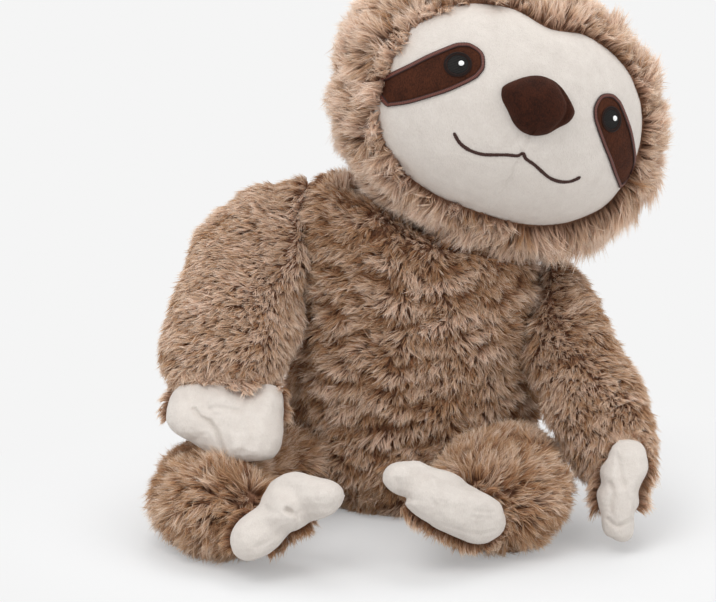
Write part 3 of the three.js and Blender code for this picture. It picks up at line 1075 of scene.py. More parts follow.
def distance_to_line(flat: Array, line: Array) -> Array:
    """Measures from flat points to a line of straight parts.

    Args:
        flat: the points.
        line: the line's places.

    Returns:
        Each point's distance from the line.
    """
    best = np.full(len(flat), np.inf)
    for a, b in zip(line[:-1], line[1:]):
        along = np.clip(((flat - a) @ (b - a)) / ((b - a) @ (b - a)), 0, 1)[:, None]
        best = np.minimum(best, np.linalg.norm(flat - a - along * (b - a), axis=1))
    return best


def mirrored(half: Sequence[Pair]) -> Array:
    """Gives a whole outline from its right half, which runs from top to bottom."""
    return np.array(list(half) + [(-x, z) for x, z in reversed(half[1:-1])])


class Outline:
    """A mirrored outline. Its shares are its right half from top to bottom, in shares of half its size."""

    width: float
    height: float
    shares: Line

    def reach(self, angle: Array) -> Array:
        """Gives how far the outline lies from its middle.

        Args:
            angle: the directions to look in.

        Returns:
            The distance in each direction.
        """
        loop = smooth_loop(mirrored(self.shares) * [self.width / 2, self.height / 2], 16)
        angles = np.arctan2(loop[:, 1], loop[:, 0])
        order = np.argsort(angles)
        return np.interp(angle, angles[order], np.linalg.norm(loop, axis=1)[order], period=math.tau)


@dataclass(frozen=True)
class Hollow:
    """A soft hollow in the face's cloth, or a rise where its depth is negative, in millimetres."""

    side: float
    up: float
    half_width: float
    half_height: float
    depth: float

    def at(self, x: Array, z: Array) -> Array:
        """Gives how deep it is at each place, in metres."""
        away = ((x - self.side * MM) / (self.half_width * MM)) ** 2
        return self.depth * MM * np.exp(-away - ((z - self.up * MM) / (self.half_height * MM)) ** 2)


MUZZLE = Hollow(0, -11, 34, 25, -2.4)
FACE_HOLLOWS = {
    "right_crease": Hollow(18, -14, 2.6, 8, 0.7),
    "left_crease": Hollow(-4, -17, 1.8, 6, 0.5),
    "chin": Hollow(2, -42, 7, 10, 0.8),
    "brow": Hollow(0, 27, 16, 9, 0.6),
}


@dataclass(frozen=True)
class FaceSurface(Outline):
    """The cream face's outline and its crowned surface, in the head's frame. The face is sewn in with
    a slight lean, and places on it are given as it was sewn, to the side and up."""

    width: float = 149 * MM
    height: float = 105 * MM
    drop: float = 5 * MM
    lean: float = 2.5
    form_width: float = 174 * MM
    form_depth: float = 138 * MM
    form_half: float = 70.5 * MM
    form_width_shares: tuple[float, ...] = (1, 1.02, 1.01, 0.98, 0.95)
    form_depth_shares: tuple[float, ...] = (1, 1.01, 1.01, 1, 0.98)
    fullness: float = 2.1
    edge_depth: float = 4.2 * MM
    edge_width: float = 2.4 * MM
    seam_top: float = -11 * MM
    seam_side: float = 1.3 * MM
    seam_width: float = 0.9 * MM
    seam_depth: float = 0.75 * MM
    pucker_width: float = 6 * MM
    pucker_depth: float = 0.16 * MM
    loose_size: float = 30 * MM
    loose_depth: float = 0.25 * MM
    tuck: float = 1.4 * MM
    cloth: float = 1.6 * MM
    shares: Line = (
        (0, 0.924), (0.268, 0.994), (0.51, 0.94), (0.69, 0.83), (0.805, 0.695), (0.902, 0.533),
        (0.966, 0.305), (0.99, 0.095), (0.97, -0.324), (0.92, -0.533), (0.825, -0.676), (0.67, -0.823),
        (0.483, -0.931), (0.295, -0.983), (0, -1),
    )

    def turn(self, x: Array, z: Array, sign: int) -> tuple[Array, Array]:
        """Turns places by the lean, or back with a sign of -1."""
        c, s = math.cos(math.radians(self.lean)), sign * math.sin(math.radians(self.lean))
        return x * c + z * s, z * c - x * s

    def inside(self, x: Array, z: Array) -> Array:
        """Gives how far inside the outline each place is, negative outside."""
        up = z + self.drop
        return self.reach(np.arctan2(up, x)) - np.hypot(x, up)

    def form(self, x: Array, z: Array) -> Array:
        """Gives the plain rounded form that the face lies on.

        Args:
            x: places across, in the head's frame.
            z: places up.

        Returns:
            The form's y at each place.
        """
        along = np.clip((z + self.form_half) / (2 * self.form_half), 0, 1)
        rounding = np.maximum(1 - np.abs(2 * along - 1) ** self.fullness, 1e-6) ** (1 / self.fullness)
        marks = np.linspace(0, 1, len(self.form_width_shares))
        wide = np.interp(along, marks, self.form_width_shares) * self.form_width / 2 * rounding
        deep = np.interp(along, marks, self.form_depth_shares) * self.form_depth / 2 * rounding
        return -deep * np.sqrt(np.clip(1 - (x / wide) ** 2, 0, 1))

    def depth(self, x: Array, z: Array) -> Array:
        """Gives the sewn surface, with its sunk edge, muzzle, seam, puckers and hollows.

        Args:
            x: places to the side, as the face was sewn.
            z: places up.

        Returns:
            The surface's y in the head's frame.
        """
        inner = self.inside(x, z)
        sink = self.edge_depth * np.exp(-np.maximum(inner, 0) / self.edge_width) + np.maximum(-inner, 0) * 1.1
        below_nose = 1 / (1 + np.exp((z - self.seam_top) / (1.2 * MM)))
        seam = self.seam_depth * np.exp(-(((x - self.seam_side) / self.seam_width) ** 2)) * below_nose
        crimp = np.sin(z / (2.3 * MM) + x / (3 * MM)) * self.pucker_depth * below_nose
        pucker = np.exp(-((x / self.pucker_width) ** 2)) * crimp
        hollows = sum(hollow.at(x, z) for hollow in FACE_HOLLOWS.values())
        loose = waves(np.stack([x, z, 0 * x], axis=1), self.loose_size, 5) * self.loose_depth
        plain = self.form(*self.turn(x, z, 1))
        return plain + sink + MUZZLE.at(x, z) + seam + pucker + hollows + loose

    def place(self, x: Array, z: Array, lift: Array | float = 0.0) -> Array:
        """Gives points on the face, lifted off it along its normal.

        Args:
            x: how far to the toy's left.
            z: how far up.
            lift: how far off the surface.

        Returns:
            Rows of x, y, z in the head's frame.
        """
        step = 0.5 * MM
        slope_x = (self.depth(x + step, z) - self.depth(x - step, z)) / (2 * step)
        slope_z = (self.depth(x, z + step) - self.depth(x, z - step)) / (2 * step)
        normal = unit(np.stack([slope_x, -np.ones_like(slope_x), slope_z], axis=1))
        sewn = np.stack([x, self.depth(x, z), z], axis=1) + normal * (np.zeros_like(x) + lift)[:, None]
        sewn[:, 0], sewn[:, 2] = self.turn(sewn[:, 0], sewn[:, 2], 1)
        return sewn


@dataclass(frozen=True)
class EyeShape:
    """One eye: a long patch with a stitched rim, and a pupil with a stitched edge and a glint. Its shares
    are the outline's upper half, in shares of its length and half its width."""

    length: float = 54 * MM
    width: float = 20.6 * MM
    side: float = 34.1 * MM
    rise: float = 19.9 * MM
    slope: float = -44.0
    shares: Line = (
        (0, 0), (0.05, 0.62), (0.12, 0.86), (0.2, 0.97), (0.45, 1), (0.64, 0.92), (0.82, 0.82),
        (0.96, 0.64), (1, 0.5),
    )
    cloth: float = 0.8 * MM
    cloth_inset: float = 0.6 * MM
    cloth_lift: float = 0.3 * MM
    cloth_crown: float = 0.5 * MM
    rim_inset: float = 1.0 * MM
    rim_half: float = 1.1 * MM
    rim_relief: float = 0.07 * MM
    rim_lift: float = 0.75 * MM
    rim_height: float = 0.6 * MM
    pupil_along: float = 14.3 * MM
    pupil_radius: float = 5.0 * MM
    pupil_height: float = 1.4 * MM
    edge_radius: float = 5.5 * MM
    edge_half: float = 0.8 * MM
    edge_lift: float = 1.0 * MM
    edge_height: float = 0.5 * MM
    stretch: float = 1.14
    glint_radius: float = 1.25 * MM
    glint_height: float = 2.2 * MM
    glint_shift: Pair = (1.4 * MM, 1.0 * MM)

    def flat(self, along: Array, across: Array, side: Side) -> tuple[Array, Array]:
        """Turns places along and across the patch to x, z on the face."""
        c, s = math.cos(math.radians(self.slope)), math.sin(math.radians(self.slope))
        return side.value * (self.side + along * c - across * s), self.rise + along * s + across * c

    def rim_line(self, inset: float) -> Array:
        """Gives the patch's outline.

        Args:
            inset: how far it is drawn in.

        Returns:
            A closed line of places along and across the patch.
        """
        length, half = self.length - 2 * inset, self.width / 2 - inset
        upper = [(inset + a * length, h * half) for a, h in self.shares]
        loop = upper + [(a, -h) for a, h in reversed(upper[1:])]
        return smooth_loop(np.array(loop), 14)


@dataclass(frozen=True)
class NoseShape(Outline):
    """The nose: a cushion with a rounded three cornered outline and a fold near its left corner."""

    width: float = 41 * MM
    height: float = 31 * MM
    rise: float = 2.8 * MM
    relief: float = 11.5 * MM
    shares: Line = (
        (0, 1), (0.4, 0.88), (0.77, 0.55), (0.97, 0.29), (1, 0.09), (0.92, -0.18), (0.71, -0.46),
        (0.47, -0.78), (0.23, -0.95), (0, -1),
    )
    fold: Line = (
        (6.5, 14.5), (9.5, 11.5), (12.2, 7.9), (13.2, 3.2), (12.4, -1.4), (10.5, -6),
    )
    fold_width: float = 1.5 * MM
    fold_depth: float = 2.6 * MM
    seat: float = 1.2 * MM
    dome: float = 2.6
    dome_edge: float = 0.62
    lump_size: float = 11 * MM
    lump_height: float = 0.25 * MM


@dataclass(frozen=True)
class MouthShape:
    """The mouth: a stitched cord. Its shares are its left half, in shares of half its width and of its
    height. Its stitches stand out, are uneven and taper at both ends, in shares of its thread and length."""

    half: float = 37.3 * MM
    height: float = 7.4 * MM
    drop: float = 22.8 * MM
    side: float = 2 * MM
    thread: float = 1.7 * MM
    seat: float = 0.3 * MM
    stitch: float = 0.12
    uneven: float = 0.08
    taper: float = 0.012
    shares: Line = (
        (0, 0), (0.067, -0.27), (0.215, -0.46), (0.375, -0.74), (0.51, -0.95), (0.65, -1), (0.78, -0.9),
        (0.89, -0.65), (1, -0.16),
    )

    def line(self) -> Array:
        """Gives the mouth's line on the face.

        Returns:
            Its places, from right to left.
        """
        half = np.array(self.shares)
        shares = np.concatenate([half[:0:-1] * [-1, 1], half])
        return smooth_line(shares * [self.half, self.height], 24) + [self.side, -self.drop]


@dataclass
class Head:
    """The head: a pile hood, the cream face, two eyes, a nose and a mouth."""

    place: HeadPlace = field(default_factory=HeadPlace)
    face: FaceSurface = field(default_factory=FaceSurface)
    eye: EyeShape = field(default_factory=EyeShape)
    nose: NoseShape = field(default_factory=NoseShape)
    mouth: MouthShape = field(default_factory=MouthShape)
    pile_gap: float = 0.4 * MM
    side_swell: float = 4.5 * MM
    far_tuck: float = 2 * MM
    high_swell: float = 6 * MM
    top_shave: float = 4 * MM
    face_side: float = -10 * MM
    overhang: float = 4.6 * MM
    edge_reach: float = 3.5 * MM
    edge_lock_size: float = 9 * MM
    edge_lock_share: float = 0.35

    def build(self) -> None:
        """Builds every piece of the head."""
        self.build_hood()
        self.build_face()
        self.build_nose()
        self.build_mouth()
        for side in Side:
            self.build_eye(side)

    def sewn(self, place: Array) -> tuple[Array, Array, Array]:
        """Sets places against the face's outline.

        Args:
            place: places in the toy's frame.

        Returns:
            How far inside the outline each is, and its own x and y.
        """
        local = self.place.to_head(place)
        x, z = self.face.turn(local[:, 0], local[:, 2], -1)
        return self.face.inside(x, z), x, local[:, 1]

    def low_cheek(self, place: Array) -> Array:
        """Gives how far onto the low left cheek each place in the toy's frame is, from 0 to 1."""
        local = self.place.to_head(place)
        return ramp(local[:, 0] * 0.6 - local[:, 2] * 0.8, 48 * MM, 25 * MM)

    def fuller(self, place: Array, normal: Array) -> Array:
        """Fills the hood out low on the left and high on the right, and shaves its left top.

        Args:
            place: places on the hood, in the toy's frame.
            normal: its normals there.

        Returns:
            How far each place moves out.
        """
        local = self.place.to_head(place)
        x, y, z = local.T
        side = ramp(x * 0.75 - z * 0.66, 20 * MM, 55 * MM) * self.side_swell
        far = ramp(-x, 60 * MM, 25 * MM) * (ramp(z, -5 * MM, 25 * MM) * self.high_swell - self.far_tuck)
        top = ramp(z, 45 * MM, 20 * MM) * ramp(x, 15 * MM, 20 * MM) * self.top_shave
        away_from_face = np.where(y < 0, ramp(-self.sewn(place)[0], 2 * MM, 12 * MM), 1)
        return (side + far - top) * away_from_face

    def comb(self, place: Array, normal: Array) -> Array:
        """Combs the hood's pile back from the face and down behind, with some locks over the face's edge.

        Args:
            place: places on the hood, in the toy's frame.
            normal: its normals there.

        Returns:
            The direction to brush in at each place.
        """
        inner, _, y = self.sewn(place)
        behind = ramp(y, -5 * MM, 50 * MM)[:, None]
        back, down = self.place.direction((0, 1, 0)), self.place.direction((0, 0.15, -1))
        near = np.exp(-((inner / self.edge_reach) ** 2)) * (y < self.face_side)
        inwards = (near * (waves(place, self.edge_lock_size, 7) > self.edge_lock_share))[:, None]
        cheek = self.low_cheek(place)[:, None]
        brushed = (back * (1 - behind) + down * behind * 1.2) * (1 - 1.7 * inwards)
        return brushed * (1 - cheek) + self.place.direction((0.5, 0.35, -0.9)) * cheek

    def keep(self, place: Array, normal: Array) -> Array:
        """Keeps the pile off the face, but for its right edge, where it hangs over.

        Args:
            place: places on the hood, in the toy's frame.
            normal: its normals there.

        Returns:
            1 where pile grows and 0 elsewhere.
        """
        inner, x, y = self.sewn(place)
        over = ramp(-x, 42 * MM, 18 * MM) * self.overhang - self.pile_gap
        return ((y > self.face_side) | (inner < over)).astype(float)

    def longer(self, place: Array, normal: Array) -> Array:
        """Makes the pile longer on the low left cheek."""
        return 1 + 0.5 * self.low_cheek(place)

    def build_hood(self) -> None:
        """Builds the hood's skin and its pile, which stands out all round the face."""
        covers = ("head_hood", "face_panel", "head_filling")
        skin = Skin("head_hood_skin", Body.HEAD, covers, inset=5 * MM).build()
        swell(skin, self.fuller)
        # The hood's pile has the palest tone: painted light on the lit hood.
        tousle = Tousle(
            tone=0.79, length=12.5 * MM, uneven=0.2, rise=14, fall=72, swirl=30, stray=14, gather=0.6,
            tuft=6 * MM, tuft_pull=0.44,
        )
        Pile(skin, Body.HEAD, self.comb, tousle, self.keep, self.longer, seed=3).grow()
        finish_piece(skin, Body.HEAD, BACKING.material(), "brown_pile_cloth", "head_hood", "head_filling")

    def lay(self, obj: Piece, x: Array, z: Array, lift: Array | float = 0.0, merge: float = 1e-6) -> None:
        """Lays a mesh on the face by places to the side and up, lifted off it, and closes it."""
        set_points(obj, self.place.to_toy(self.face.place(x, z, lift)))
        weld(obj, merge)

    def build_face(self) -> None:
        """Builds the cream face as a crowned panel that is sewn in all round."""
        panel = added(
            bpy.ops.mesh.primitive_grid_add, "face_cloth", x_subdivisions=288, y_subdivisions=96, size=1
        )
        grid = points_of(panel)
        angle = (grid[:, 0] + 0.5) * math.tau
        share = (grid[:, 1] + 0.5) ** 0.85
        far = self.face.reach(angle) + self.face.tuck
        x = np.cos(angle) * far * share
        z = np.sin(angle) * far * share - self.face.drop
        self.lay(panel, x, z, merge=2e-5)
        self.turn_forward(panel)
        modify(panel, "SOLIDIFY", thickness=self.face.cloth, offset=-1.0)
        finish_piece(panel, Body.HEAD, CREAM_VELOUR.material(), "cream_velour", "face_panel")

    def turn_forward(self, obj: Piece) -> None:
        """Flips an open sheet whose faces point into the head.

        Args:
            obj: the sheet.
        """
        forward = self.place.direction((0, -1, 0))
        if (normals_of(obj) @ forward).mean() < 0:
            choose(obj)
            bpy.ops.object.mode_set(mode="EDIT")
            bpy.ops.mesh.select_all(action="SELECT")
            bpy.ops.mesh.flip_normals()
            bpy.ops.object.mode_set(mode="OBJECT")

    def build_nose(self) -> None:
        """Builds the nose, a small stuffed velour cushion, from a ball drawn out to its outline."""
        nose = added(
            bpy.ops.mesh.primitive_uv_sphere_add, "nose_cushion", segments=144, ring_count=96, radius=1
        )
        ball = points_of(nose)
        angle = np.arctan2(ball[:, 1], ball[:, 0])
        share = np.hypot(ball[:, 0], ball[:, 1])
        far = self.nose.reach(angle) * share
        x, z = np.cos(angle) * far, np.sin(angle) * far + self.nose.rise
        crown = self.nose.relief * (1 - share**self.nose.dome) ** self.nose.dome_edge
        lift = np.where(ball[:, 2] >= 0, crown, -self.nose.seat * np.sqrt(1 - np.minimum(share, 1) ** 2))
        off_fold = distance_to_line(np.stack([x, z], axis=1), np.array(self.nose.fold) * MM)
        groove = np.exp(-((off_fold / self.nose.fold_width) ** 2)) * self.nose.fold_depth
        lumps = waves(np.stack([x, z, lift], axis=1), self.nose.lump_size, 15) * self.nose.lump_height
        folded = np.maximum(lift - groove * (lift / self.nose.relief) + lumps, 0)
        lift = np.where(ball[:, 2] > 0, folded, lift)
        self.lay(nose, x, z, lift)
        finish_piece(nose, Body.HEAD, NOSE_VELOUR.material(), "brown_velour", "nose_pad")

    def build_mouth(self) -> None:
        """Builds the stitched mouth line as a low cord that tapers at both ends."""
        mouth = added(
            bpy.ops.mesh.primitive_grid_add, "mouth_cord", x_subdivisions=300, y_subdivisions=10, size=1
        )
        grid = points_of(mouth)
        t = grid[:, 0] + 0.5
        around = (grid[:, 1] + 0.5) * math.tau
        shape = self.mouth
        uneven = shape.uneven * waves(np.stack([t, 0 * t, 0 * t], axis=1), 0.03, 9)
        stitch = 1 + shape.stitch * np.sin(t * MOUTH_THREAD.threads * math.tau) + uneven
        thick = shape.thread / 2 * ramp(np.minimum(t, 1 - t), 0, shape.taper) ** 0.5 * stitch
        out = np.sin(around) * thick
        x, z, dx, dz = follow(shape.line(), t, 0.004, closed=False)
        lift = shape.seat + np.cos(around) * thick * 0.5
        self.lay(mouth, x - dz * out, z + dx * out, lift)
        finish_piece(mouth, Body.HEAD, MOUTH_THREAD.material(), "brown_thread", "mouth_stitch")

    def build_eye(self, side: Side) -> None:
        """Builds one eye's patch, rim, pupil, pupil edge and glint.

        Args:
            side: which eye.
        """
        name = side.name.lower()
        self.build_patch(side, name)
        self.build_rim(side, name)
        x, z = self.eye.flat(np.array([self.eye.pupil_along]), np.array([0.0]), side)
        middle = (float(x[0]), float(z[0]))
        pupil = self.oval(f"{name}_pupil_satin", side, middle, self.eye.pupil_radius, self.eye.pupil_height)
        finish_piece(pupil, Body.HEAD, EYE_THREAD.material(), "black_thread", f"{name}_pupil")
        ring = self.pupil_ring(f"{name}_pupil_edge", side, middle)
        finish_piece(ring, Body.HEAD, EYE_EDGE_THREAD.material(), "black_thread")
        spot = (middle[0] + self.eye.glint_shift[0], middle[1] + self.eye.glint_shift[1])
        glint = self.oval(f"{name}_glint_satin", side, spot, self.eye.glint_radius, self.eye.glint_height)
        finish_piece(glint, Body.HEAD, GLINT_THREAD.material(), "white_thread", f"{name}_glint")

    def build_patch(self, side: Side, name: str) -> None:
        """Builds the velour patch, which is lightly crowned.

        Args:
            side: which eye.
            name: the side's name.
        """
        label = f"{name}_eye_patch_velour"
        patch = added(bpy.ops.mesh.primitive_grid_add, label, x_subdivisions=90, y_subdivisions=30, size=1)
        grid = points_of(patch)
        inset = self.eye.cloth_inset
        line = self.eye.rim_line(inset)
        upper = line[: line[:, 0].argmax() + 1]
        upper = upper[upper[:, 1] >= 0]
        order = np.argsort(upper[:, 0])
        share = (1 - np.cos((grid[:, 0] + 0.5) * math.pi)) / 2
        along = share * (self.eye.length - 2 * inset) + inset
        half = np.interp(along, upper[order, 0], upper[order, 1])
        across = grid[:, 1] * 2 * np.maximum(half, 0.05 * MM)
        crown = self.eye.cloth_lift + self.eye.cloth_crown * (1 - (grid[:, 1] * 2) ** 2)
        x, z = self.eye.flat(along, across, side)
        self.lay(patch, x, z, crown)
        self.turn_forward(patch)
        modify(patch, "SOLIDIFY", thickness=self.eye.cloth, offset=-1.0)
        finish_piece(patch, Body.HEAD, PATCH_VELOUR.material(), "brown_velour", f"{name}_eye_patch")

    def build_rim(self, side: Side, name: str) -> None:
        """Builds the satin stitched rim round the patch, from a ring bent to its outline.

        Args:
            side: which eye.
            name: the side's name.
        """
        line = self.eye.rim_line(self.eye.rim_inset)
        ring = self.ring(f"{name}_eye_rim_satin", 312, 16)
        major, minor = self.ring_angles(ring)
        t = major / math.tau
        along, across, da, dc = follow(np.vstack([line, line[:1]]), t, 0.006, closed=True)
        relief = self.eye.rim_relief * np.sin(t * RIM_THREAD.threads * math.tau)
        out = -np.cos(minor) * (self.eye.rim_half + relief)
        x, z = self.eye.flat(along + dc * out, across - da * out, side)
        lift = self.eye.rim_lift + np.sin(minor) * self.eye.rim_height
        self.lay(ring, x, z, lift)
        finish_piece(ring, Body.HEAD, RIM_THREAD.material(), "rim_thread", f"{name}_eye_rim")

    def stretched(self, side: Side, x: Array, z: Array) -> tuple[Array, Array]:
        """Draws an oval out along the eye patch.

        Args:
            side: which eye.
            x: places across, from the oval's middle.
            z: places up from there.

        Returns:
            The new places.
        """
        slope = math.radians(self.eye.slope)
        c, s = side.value * math.cos(slope), math.sin(slope)
        more = (x * c + z * s) * (self.eye.stretch - 1)
        return x + more * c, z + more * s

    def pupil_ring(self, name: str, side: Side, middle: Pair) -> Piece:
        """Builds the dark stitched edge round a pupil.

        Args:
            name: the piece's name.
            side: which eye it belongs to.
            middle: the pupil's place on the face.

        Returns:
            The ring.
        """
        ring = self.ring(name, 112, 12)
        major, minor = self.ring_angles(ring)
        far = self.eye.edge_radius + np.cos(minor) * self.eye.edge_half
        x, z = self.stretched(side, np.cos(major) * far, np.sin(major) * far)
        lift = self.eye.edge_lift + np.sin(minor) * self.eye.edge_height
        self.lay(ring, middle[0] + x, middle[1] + z, lift)
        return ring

    def oval(self, name: str, side: Side, middle: Pair, radius: float, height: float) -> Piece:
        """Builds a satin stitched oval, from a ball pressed flat on the face.

        Args:
            name: the piece's name.
            side: which eye it belongs to.
            middle: its place on the face.
            radius: its radius before it is drawn out.
            height: how far its top stands off the face.

        Returns:
            The oval.
        """
        disc = added(bpy.ops.mesh.primitive_uv_sphere_add, name, segments=48, ring_count=24, radius=1)
        ball = points_of(disc)
        flat = np.sign(ball[:, 2]) * np.abs(ball[:, 2]) ** 0.8
        x, z = self.stretched(side, ball[:, 0] * radius, ball[:, 1] * radius)
        half = 0.6 * MM
        lift = height - half + flat * half
        layer = disc.data.uv_layers.active
        corners = np.empty(len(disc.data.loops), np.int32)
        disc.data.loops.foreach_get("vertex_index", corners)
        rows = np.stack([(ball[corners, 1] + 1) / 2, np.full(len(corners), 0.25)], axis=1)
        layer.uv.foreach_set("vector", rows.astype(np.float32).ravel())
        self.lay(disc, middle[0] + x, middle[1] + z, lift)
        return disc

    @staticmethod
    def ring(name: str, major: int, minor: int) -> Piece:
        """Adds a ring of radius 1 to be bent to a stitched row.

        Args:
            name: the ring's name.
            major: its parts round the ring.
            minor: its parts round the thread.

        Returns:
            The ring.
        """
        return added(
            bpy.ops.mesh.primitive_torus_add, name, major_radius=1, minor_radius=0.25,
            major_segments=major, minor_segments=minor, generate_uvs=True,
        )

    @staticmethod
    def ring_angles(ring: Piece) -> tuple[Array, Array]:
        """Reads each vertex's angles round a ring of radius 1 and round its thread."""
        x, y, z = points_of(ring).T
        return np.arctan2(y, x) % math.tau, np.arctan2(z, np.hypot(x, y) - 1)


# The torso, neck and limbs


@dataclass(frozen=True)
class Bulge:
    """A part of a bag that is stuffed fuller, or drawn in where its height is negative. It lies where the
    bag faces one way, and can be kept to a band of heights or of places across, or set in over a length
    above a height or beyond a place across. All but the way are in millimetres."""

    facing: Triple
    out: float
    heights: Pair | None = None
    sides: Pair | None = None
    above: Pair | None = None
    beyond: Pair | None = None

    def at(self, place: Array, normal: Array) -> Array:
        """Gives how far it stands out.

        Args:
            place: places on the bag.
            normal: its normals there.

        Returns:
            The distance at each place, in metres.
        """
        out = np.maximum(normal @ np.array(self.facing), 0) * self.out * MM
        for shape, axis, span in (
            (band, Z, self.heights), (band, X, self.sides), (ramp, Z, self.above), (ramp, X, self.beyond),
        ):
            if span:
                out = out * shape(place[:, axis], span[0] * MM, span[1] * MM)
        return out


def stuffed(*bulges: Bulge) -> Field:
    """Joins bulges into one field of heights."""
    return lambda place, normal: sum(bulge.at(place, normal) for bulge in bulges)


def by_place(axis: int, start: float, length: float) -> Field:
    """Gives a share that rises from 0 at a start to 1 over a length, in millimetres along an axis."""
    return lambda place, normal: (place[:, axis] - start * MM) / (length * MM)


def by_facing(axis: int, start: float, length: float) -> Field:
    """Gives a share that rises from 0 to 1 as a bag turns to face along an axis."""
    return lambda place, normal: (normal[:, axis] - start) / length


@dataclass
class Torso:
    """The body bag, sitting on its flat seat, with tousled pile. It is fuller beside the right arm, low
    down in front and at the shoulder above the right arm."""

    nodes: tuple[str, ...] = ("torso_plush", "torso_filling", "seat_pellet_bag")
    bulges: tuple[Bulge, ...] = (
        Bulge((-1, 0, 0), 6, heights=(15, 110)),
        Bulge((0, -1, 0), 9, heights=(-25, 45)),
        Bulge((-0.5, 0, 1), 6, sides=(-75, -5), above=(140, 15)),
    )
    # The body's pile has a darker tone than the hood's and the arms': painted shade under the head and in its
    # deeper pile.
    tousle: Tousle = Tousle(
        tone=0.47, length=8.5 * MM, uneven=0.12, rise=14, fall=72, swirl=32, swirl_size=26 * MM, stray=15,
        curl=0.2, gather=0.6, tuft=4 * MM, tuft_pull=0.36, ripple=21, ripple_size=11 * MM,
        ripple_stretch=2.3, drift=0.6,
    )

    def build(self) -> None:
        """Builds the body's skin and pile."""
        skin = Skin("torso_skin", Body.TORSO, self.nodes, inset=5 * MM).build()
        swell(skin, stuffed(*self.bulges))
        upper = blended(towards(-1, 0, -0.45), towards(0.7, 0, -0.7), by_place(X, -31.5, 70))
        comb = blended(towards(-0.4, 0, -1), upper, by_place(Z, 60, 50))
        Pile(skin, Body.TORSO, comb, self.tousle, seed=21).grow()
        finish_piece(skin, Body.TORSO, BACKING.material(), "brown_pile_cloth", *self.nodes)


@dataclass
class Neck:
    """The soft neck between body and hood."""

    def build(self) -> None:
        """Builds the neck's skin and its short pile."""
        node = "neck_filling"
        skin = Skin("neck_skin", Body.NECK, (node,), inset=2 * MM, voxel=3 * MM, cap=0.5 * MM).build()
        tousle = Tousle(length=9 * MM, fall=70)
        Pile(skin, Body.NECK, towards(0, 0, -1), tousle, seed=31, locks_per_cm2=16).grow()
        finish_piece(skin, Body.NECK, BACKING.material(), "brown_pile_cloth", node)


@dataclass(frozen=True)
class Fold:
    """A fold pressed into a paw: its line in the paw's plane, its width and its depth, in millimetres."""

    line: Line
    width: float = 1.5
    depth: float = 1.2


@dataclass(frozen=True)
class PawShape:
    """A paw's sewn outline and folds, in millimetres to the side and up from its middle, in an upright
    plane that leans back by 13 degrees."""

    middle: Triple
    outline: Line
    folds: tuple[Fold, ...]
    lean: float = 13.0
    draw_limits: Pair = (0.7, 1.35)
    dent_size: float = 14 * MM
    dent_depth: float = 0.5 * MM
    crease_size: float = 5 * MM
    crease_depth: float = 0.12 * MM

    def axes(self) -> Array:
        """Gives the plane's side, up and outward directions as rows."""
        c, s = math.cos(math.radians(self.lean)), math.sin(math.radians(self.lean))
        return np.array([[1, 0, 0], [0, s, c], [0, -c, s]])

    def flat(self, points: Array) -> Array:
        """Gives points in the paw's own plane, in millimetres to the side, up and outwards."""
        return (points - np.array(self.middle) * MM) @ self.axes().T / MM

    def press(self, points: Array, normals: Array) -> Array:
        """Draws a paw out to its outline and presses its folds in.

        Args:
            points: the paw's vertices.
            normals: their normals.

        Returns:
            The new vertices.
        """
        axes, middle = self.axes(), np.array(self.middle) * MM
        local = (points - middle) @ axes.T
        around = np.arctan2(local[:, 1], local[:, 0])
        ratio = self.rim(smooth_loop(np.array(self.outline) * MM, 12)) / self.rim(local[:, :2])
        marks = (np.arange(len(ratio)) + 0.5) / len(ratio) * math.tau - math.pi
        drawn = np.clip(np.interp(around, marks, ratio, period=math.tau), *self.draw_limits)
        local[:, :2] *= drawn[:, None]
        front = ramp(normals @ axes[2], 0.05, 0.3)
        for fold in self.folds:
            away = distance_to_line(local[:, :2], np.array(fold.line) * MM)
            local[:, 2] -= front * fold.depth * MM * np.exp(-((away / (fold.width * MM)) ** 2))
        local[:, 2] += waves(points, self.dent_size, 17) * self.dent_depth
        local[:, 2] += waves(points, self.crease_size, 18) * self.crease_depth
        return local @ axes + middle

    @staticmethod
    def rim(flat: Array, bins: int = 72) -> Array:
        """Gives the farthest reach of flat points from the middle.

        Args:
            flat: the points.
            bins: in how many directions.

        Returns:
            The reach in each direction, evened out over its neighbours.
        """
        turn = (np.arctan2(flat[:, 1], flat[:, 0]) + math.pi) / math.tau
        slot = np.minimum((turn * bins).astype(int), bins - 1)
        far = np.zeros(bins)
        np.maximum.at(far, slot, np.hypot(flat[:, 0], flat[:, 1]))
        known = far > 0
        marks = np.arange(bins)
        far = np.interp(marks, marks[known], far[known], period=bins)
        return (np.roll(far, 1) + 2 * far + np.roll(far, -1)) / 4


RIGHT_HAND = PawShape(
    (-102.3, -83.0, 64.8),
    (
        (-31, 12), (-32, 5), (-31, 0), (-28, -3), (-23, -7), (-17, -10.5), (-13, -13), (-7.5, -16),
        (0, -17.5), (5, -19.5), (9.5, -19.3), (18, -18.5), (24, -17.5), (28, -15), (30, -8.5),
        (30.5, -3), (30.3, 5), (30, 11), (29, 17), (25.5, 20), (11, 21), (-8, 22), (-20, 22), (-28, 18.5),
    ),
    (
        Fold(
            ((-16.5, 8), (-13.5, 4), (-8.5, 1.5), (-4.5, -3.5), (-2.6, -8.5), (-1, -13.5), (1, -18)), 1.4, 2.4
        ),
        Fold(((-8.5, 8), (-5.5, 9), (1.5, 8), (7.5, 7.3)), 1.3, 1.2),
        Fold(((-5.5, 5), (1, 6)), 0.9, 0.6),
        Fold(((13.5, 4), (15.8, -3.5), (14.5, -10)), 2.2, 0.9),
        Fold(((10.5, -3), (11.3, -9.5), (8.3, -17)), 1.6, 0.8),
    ),
)
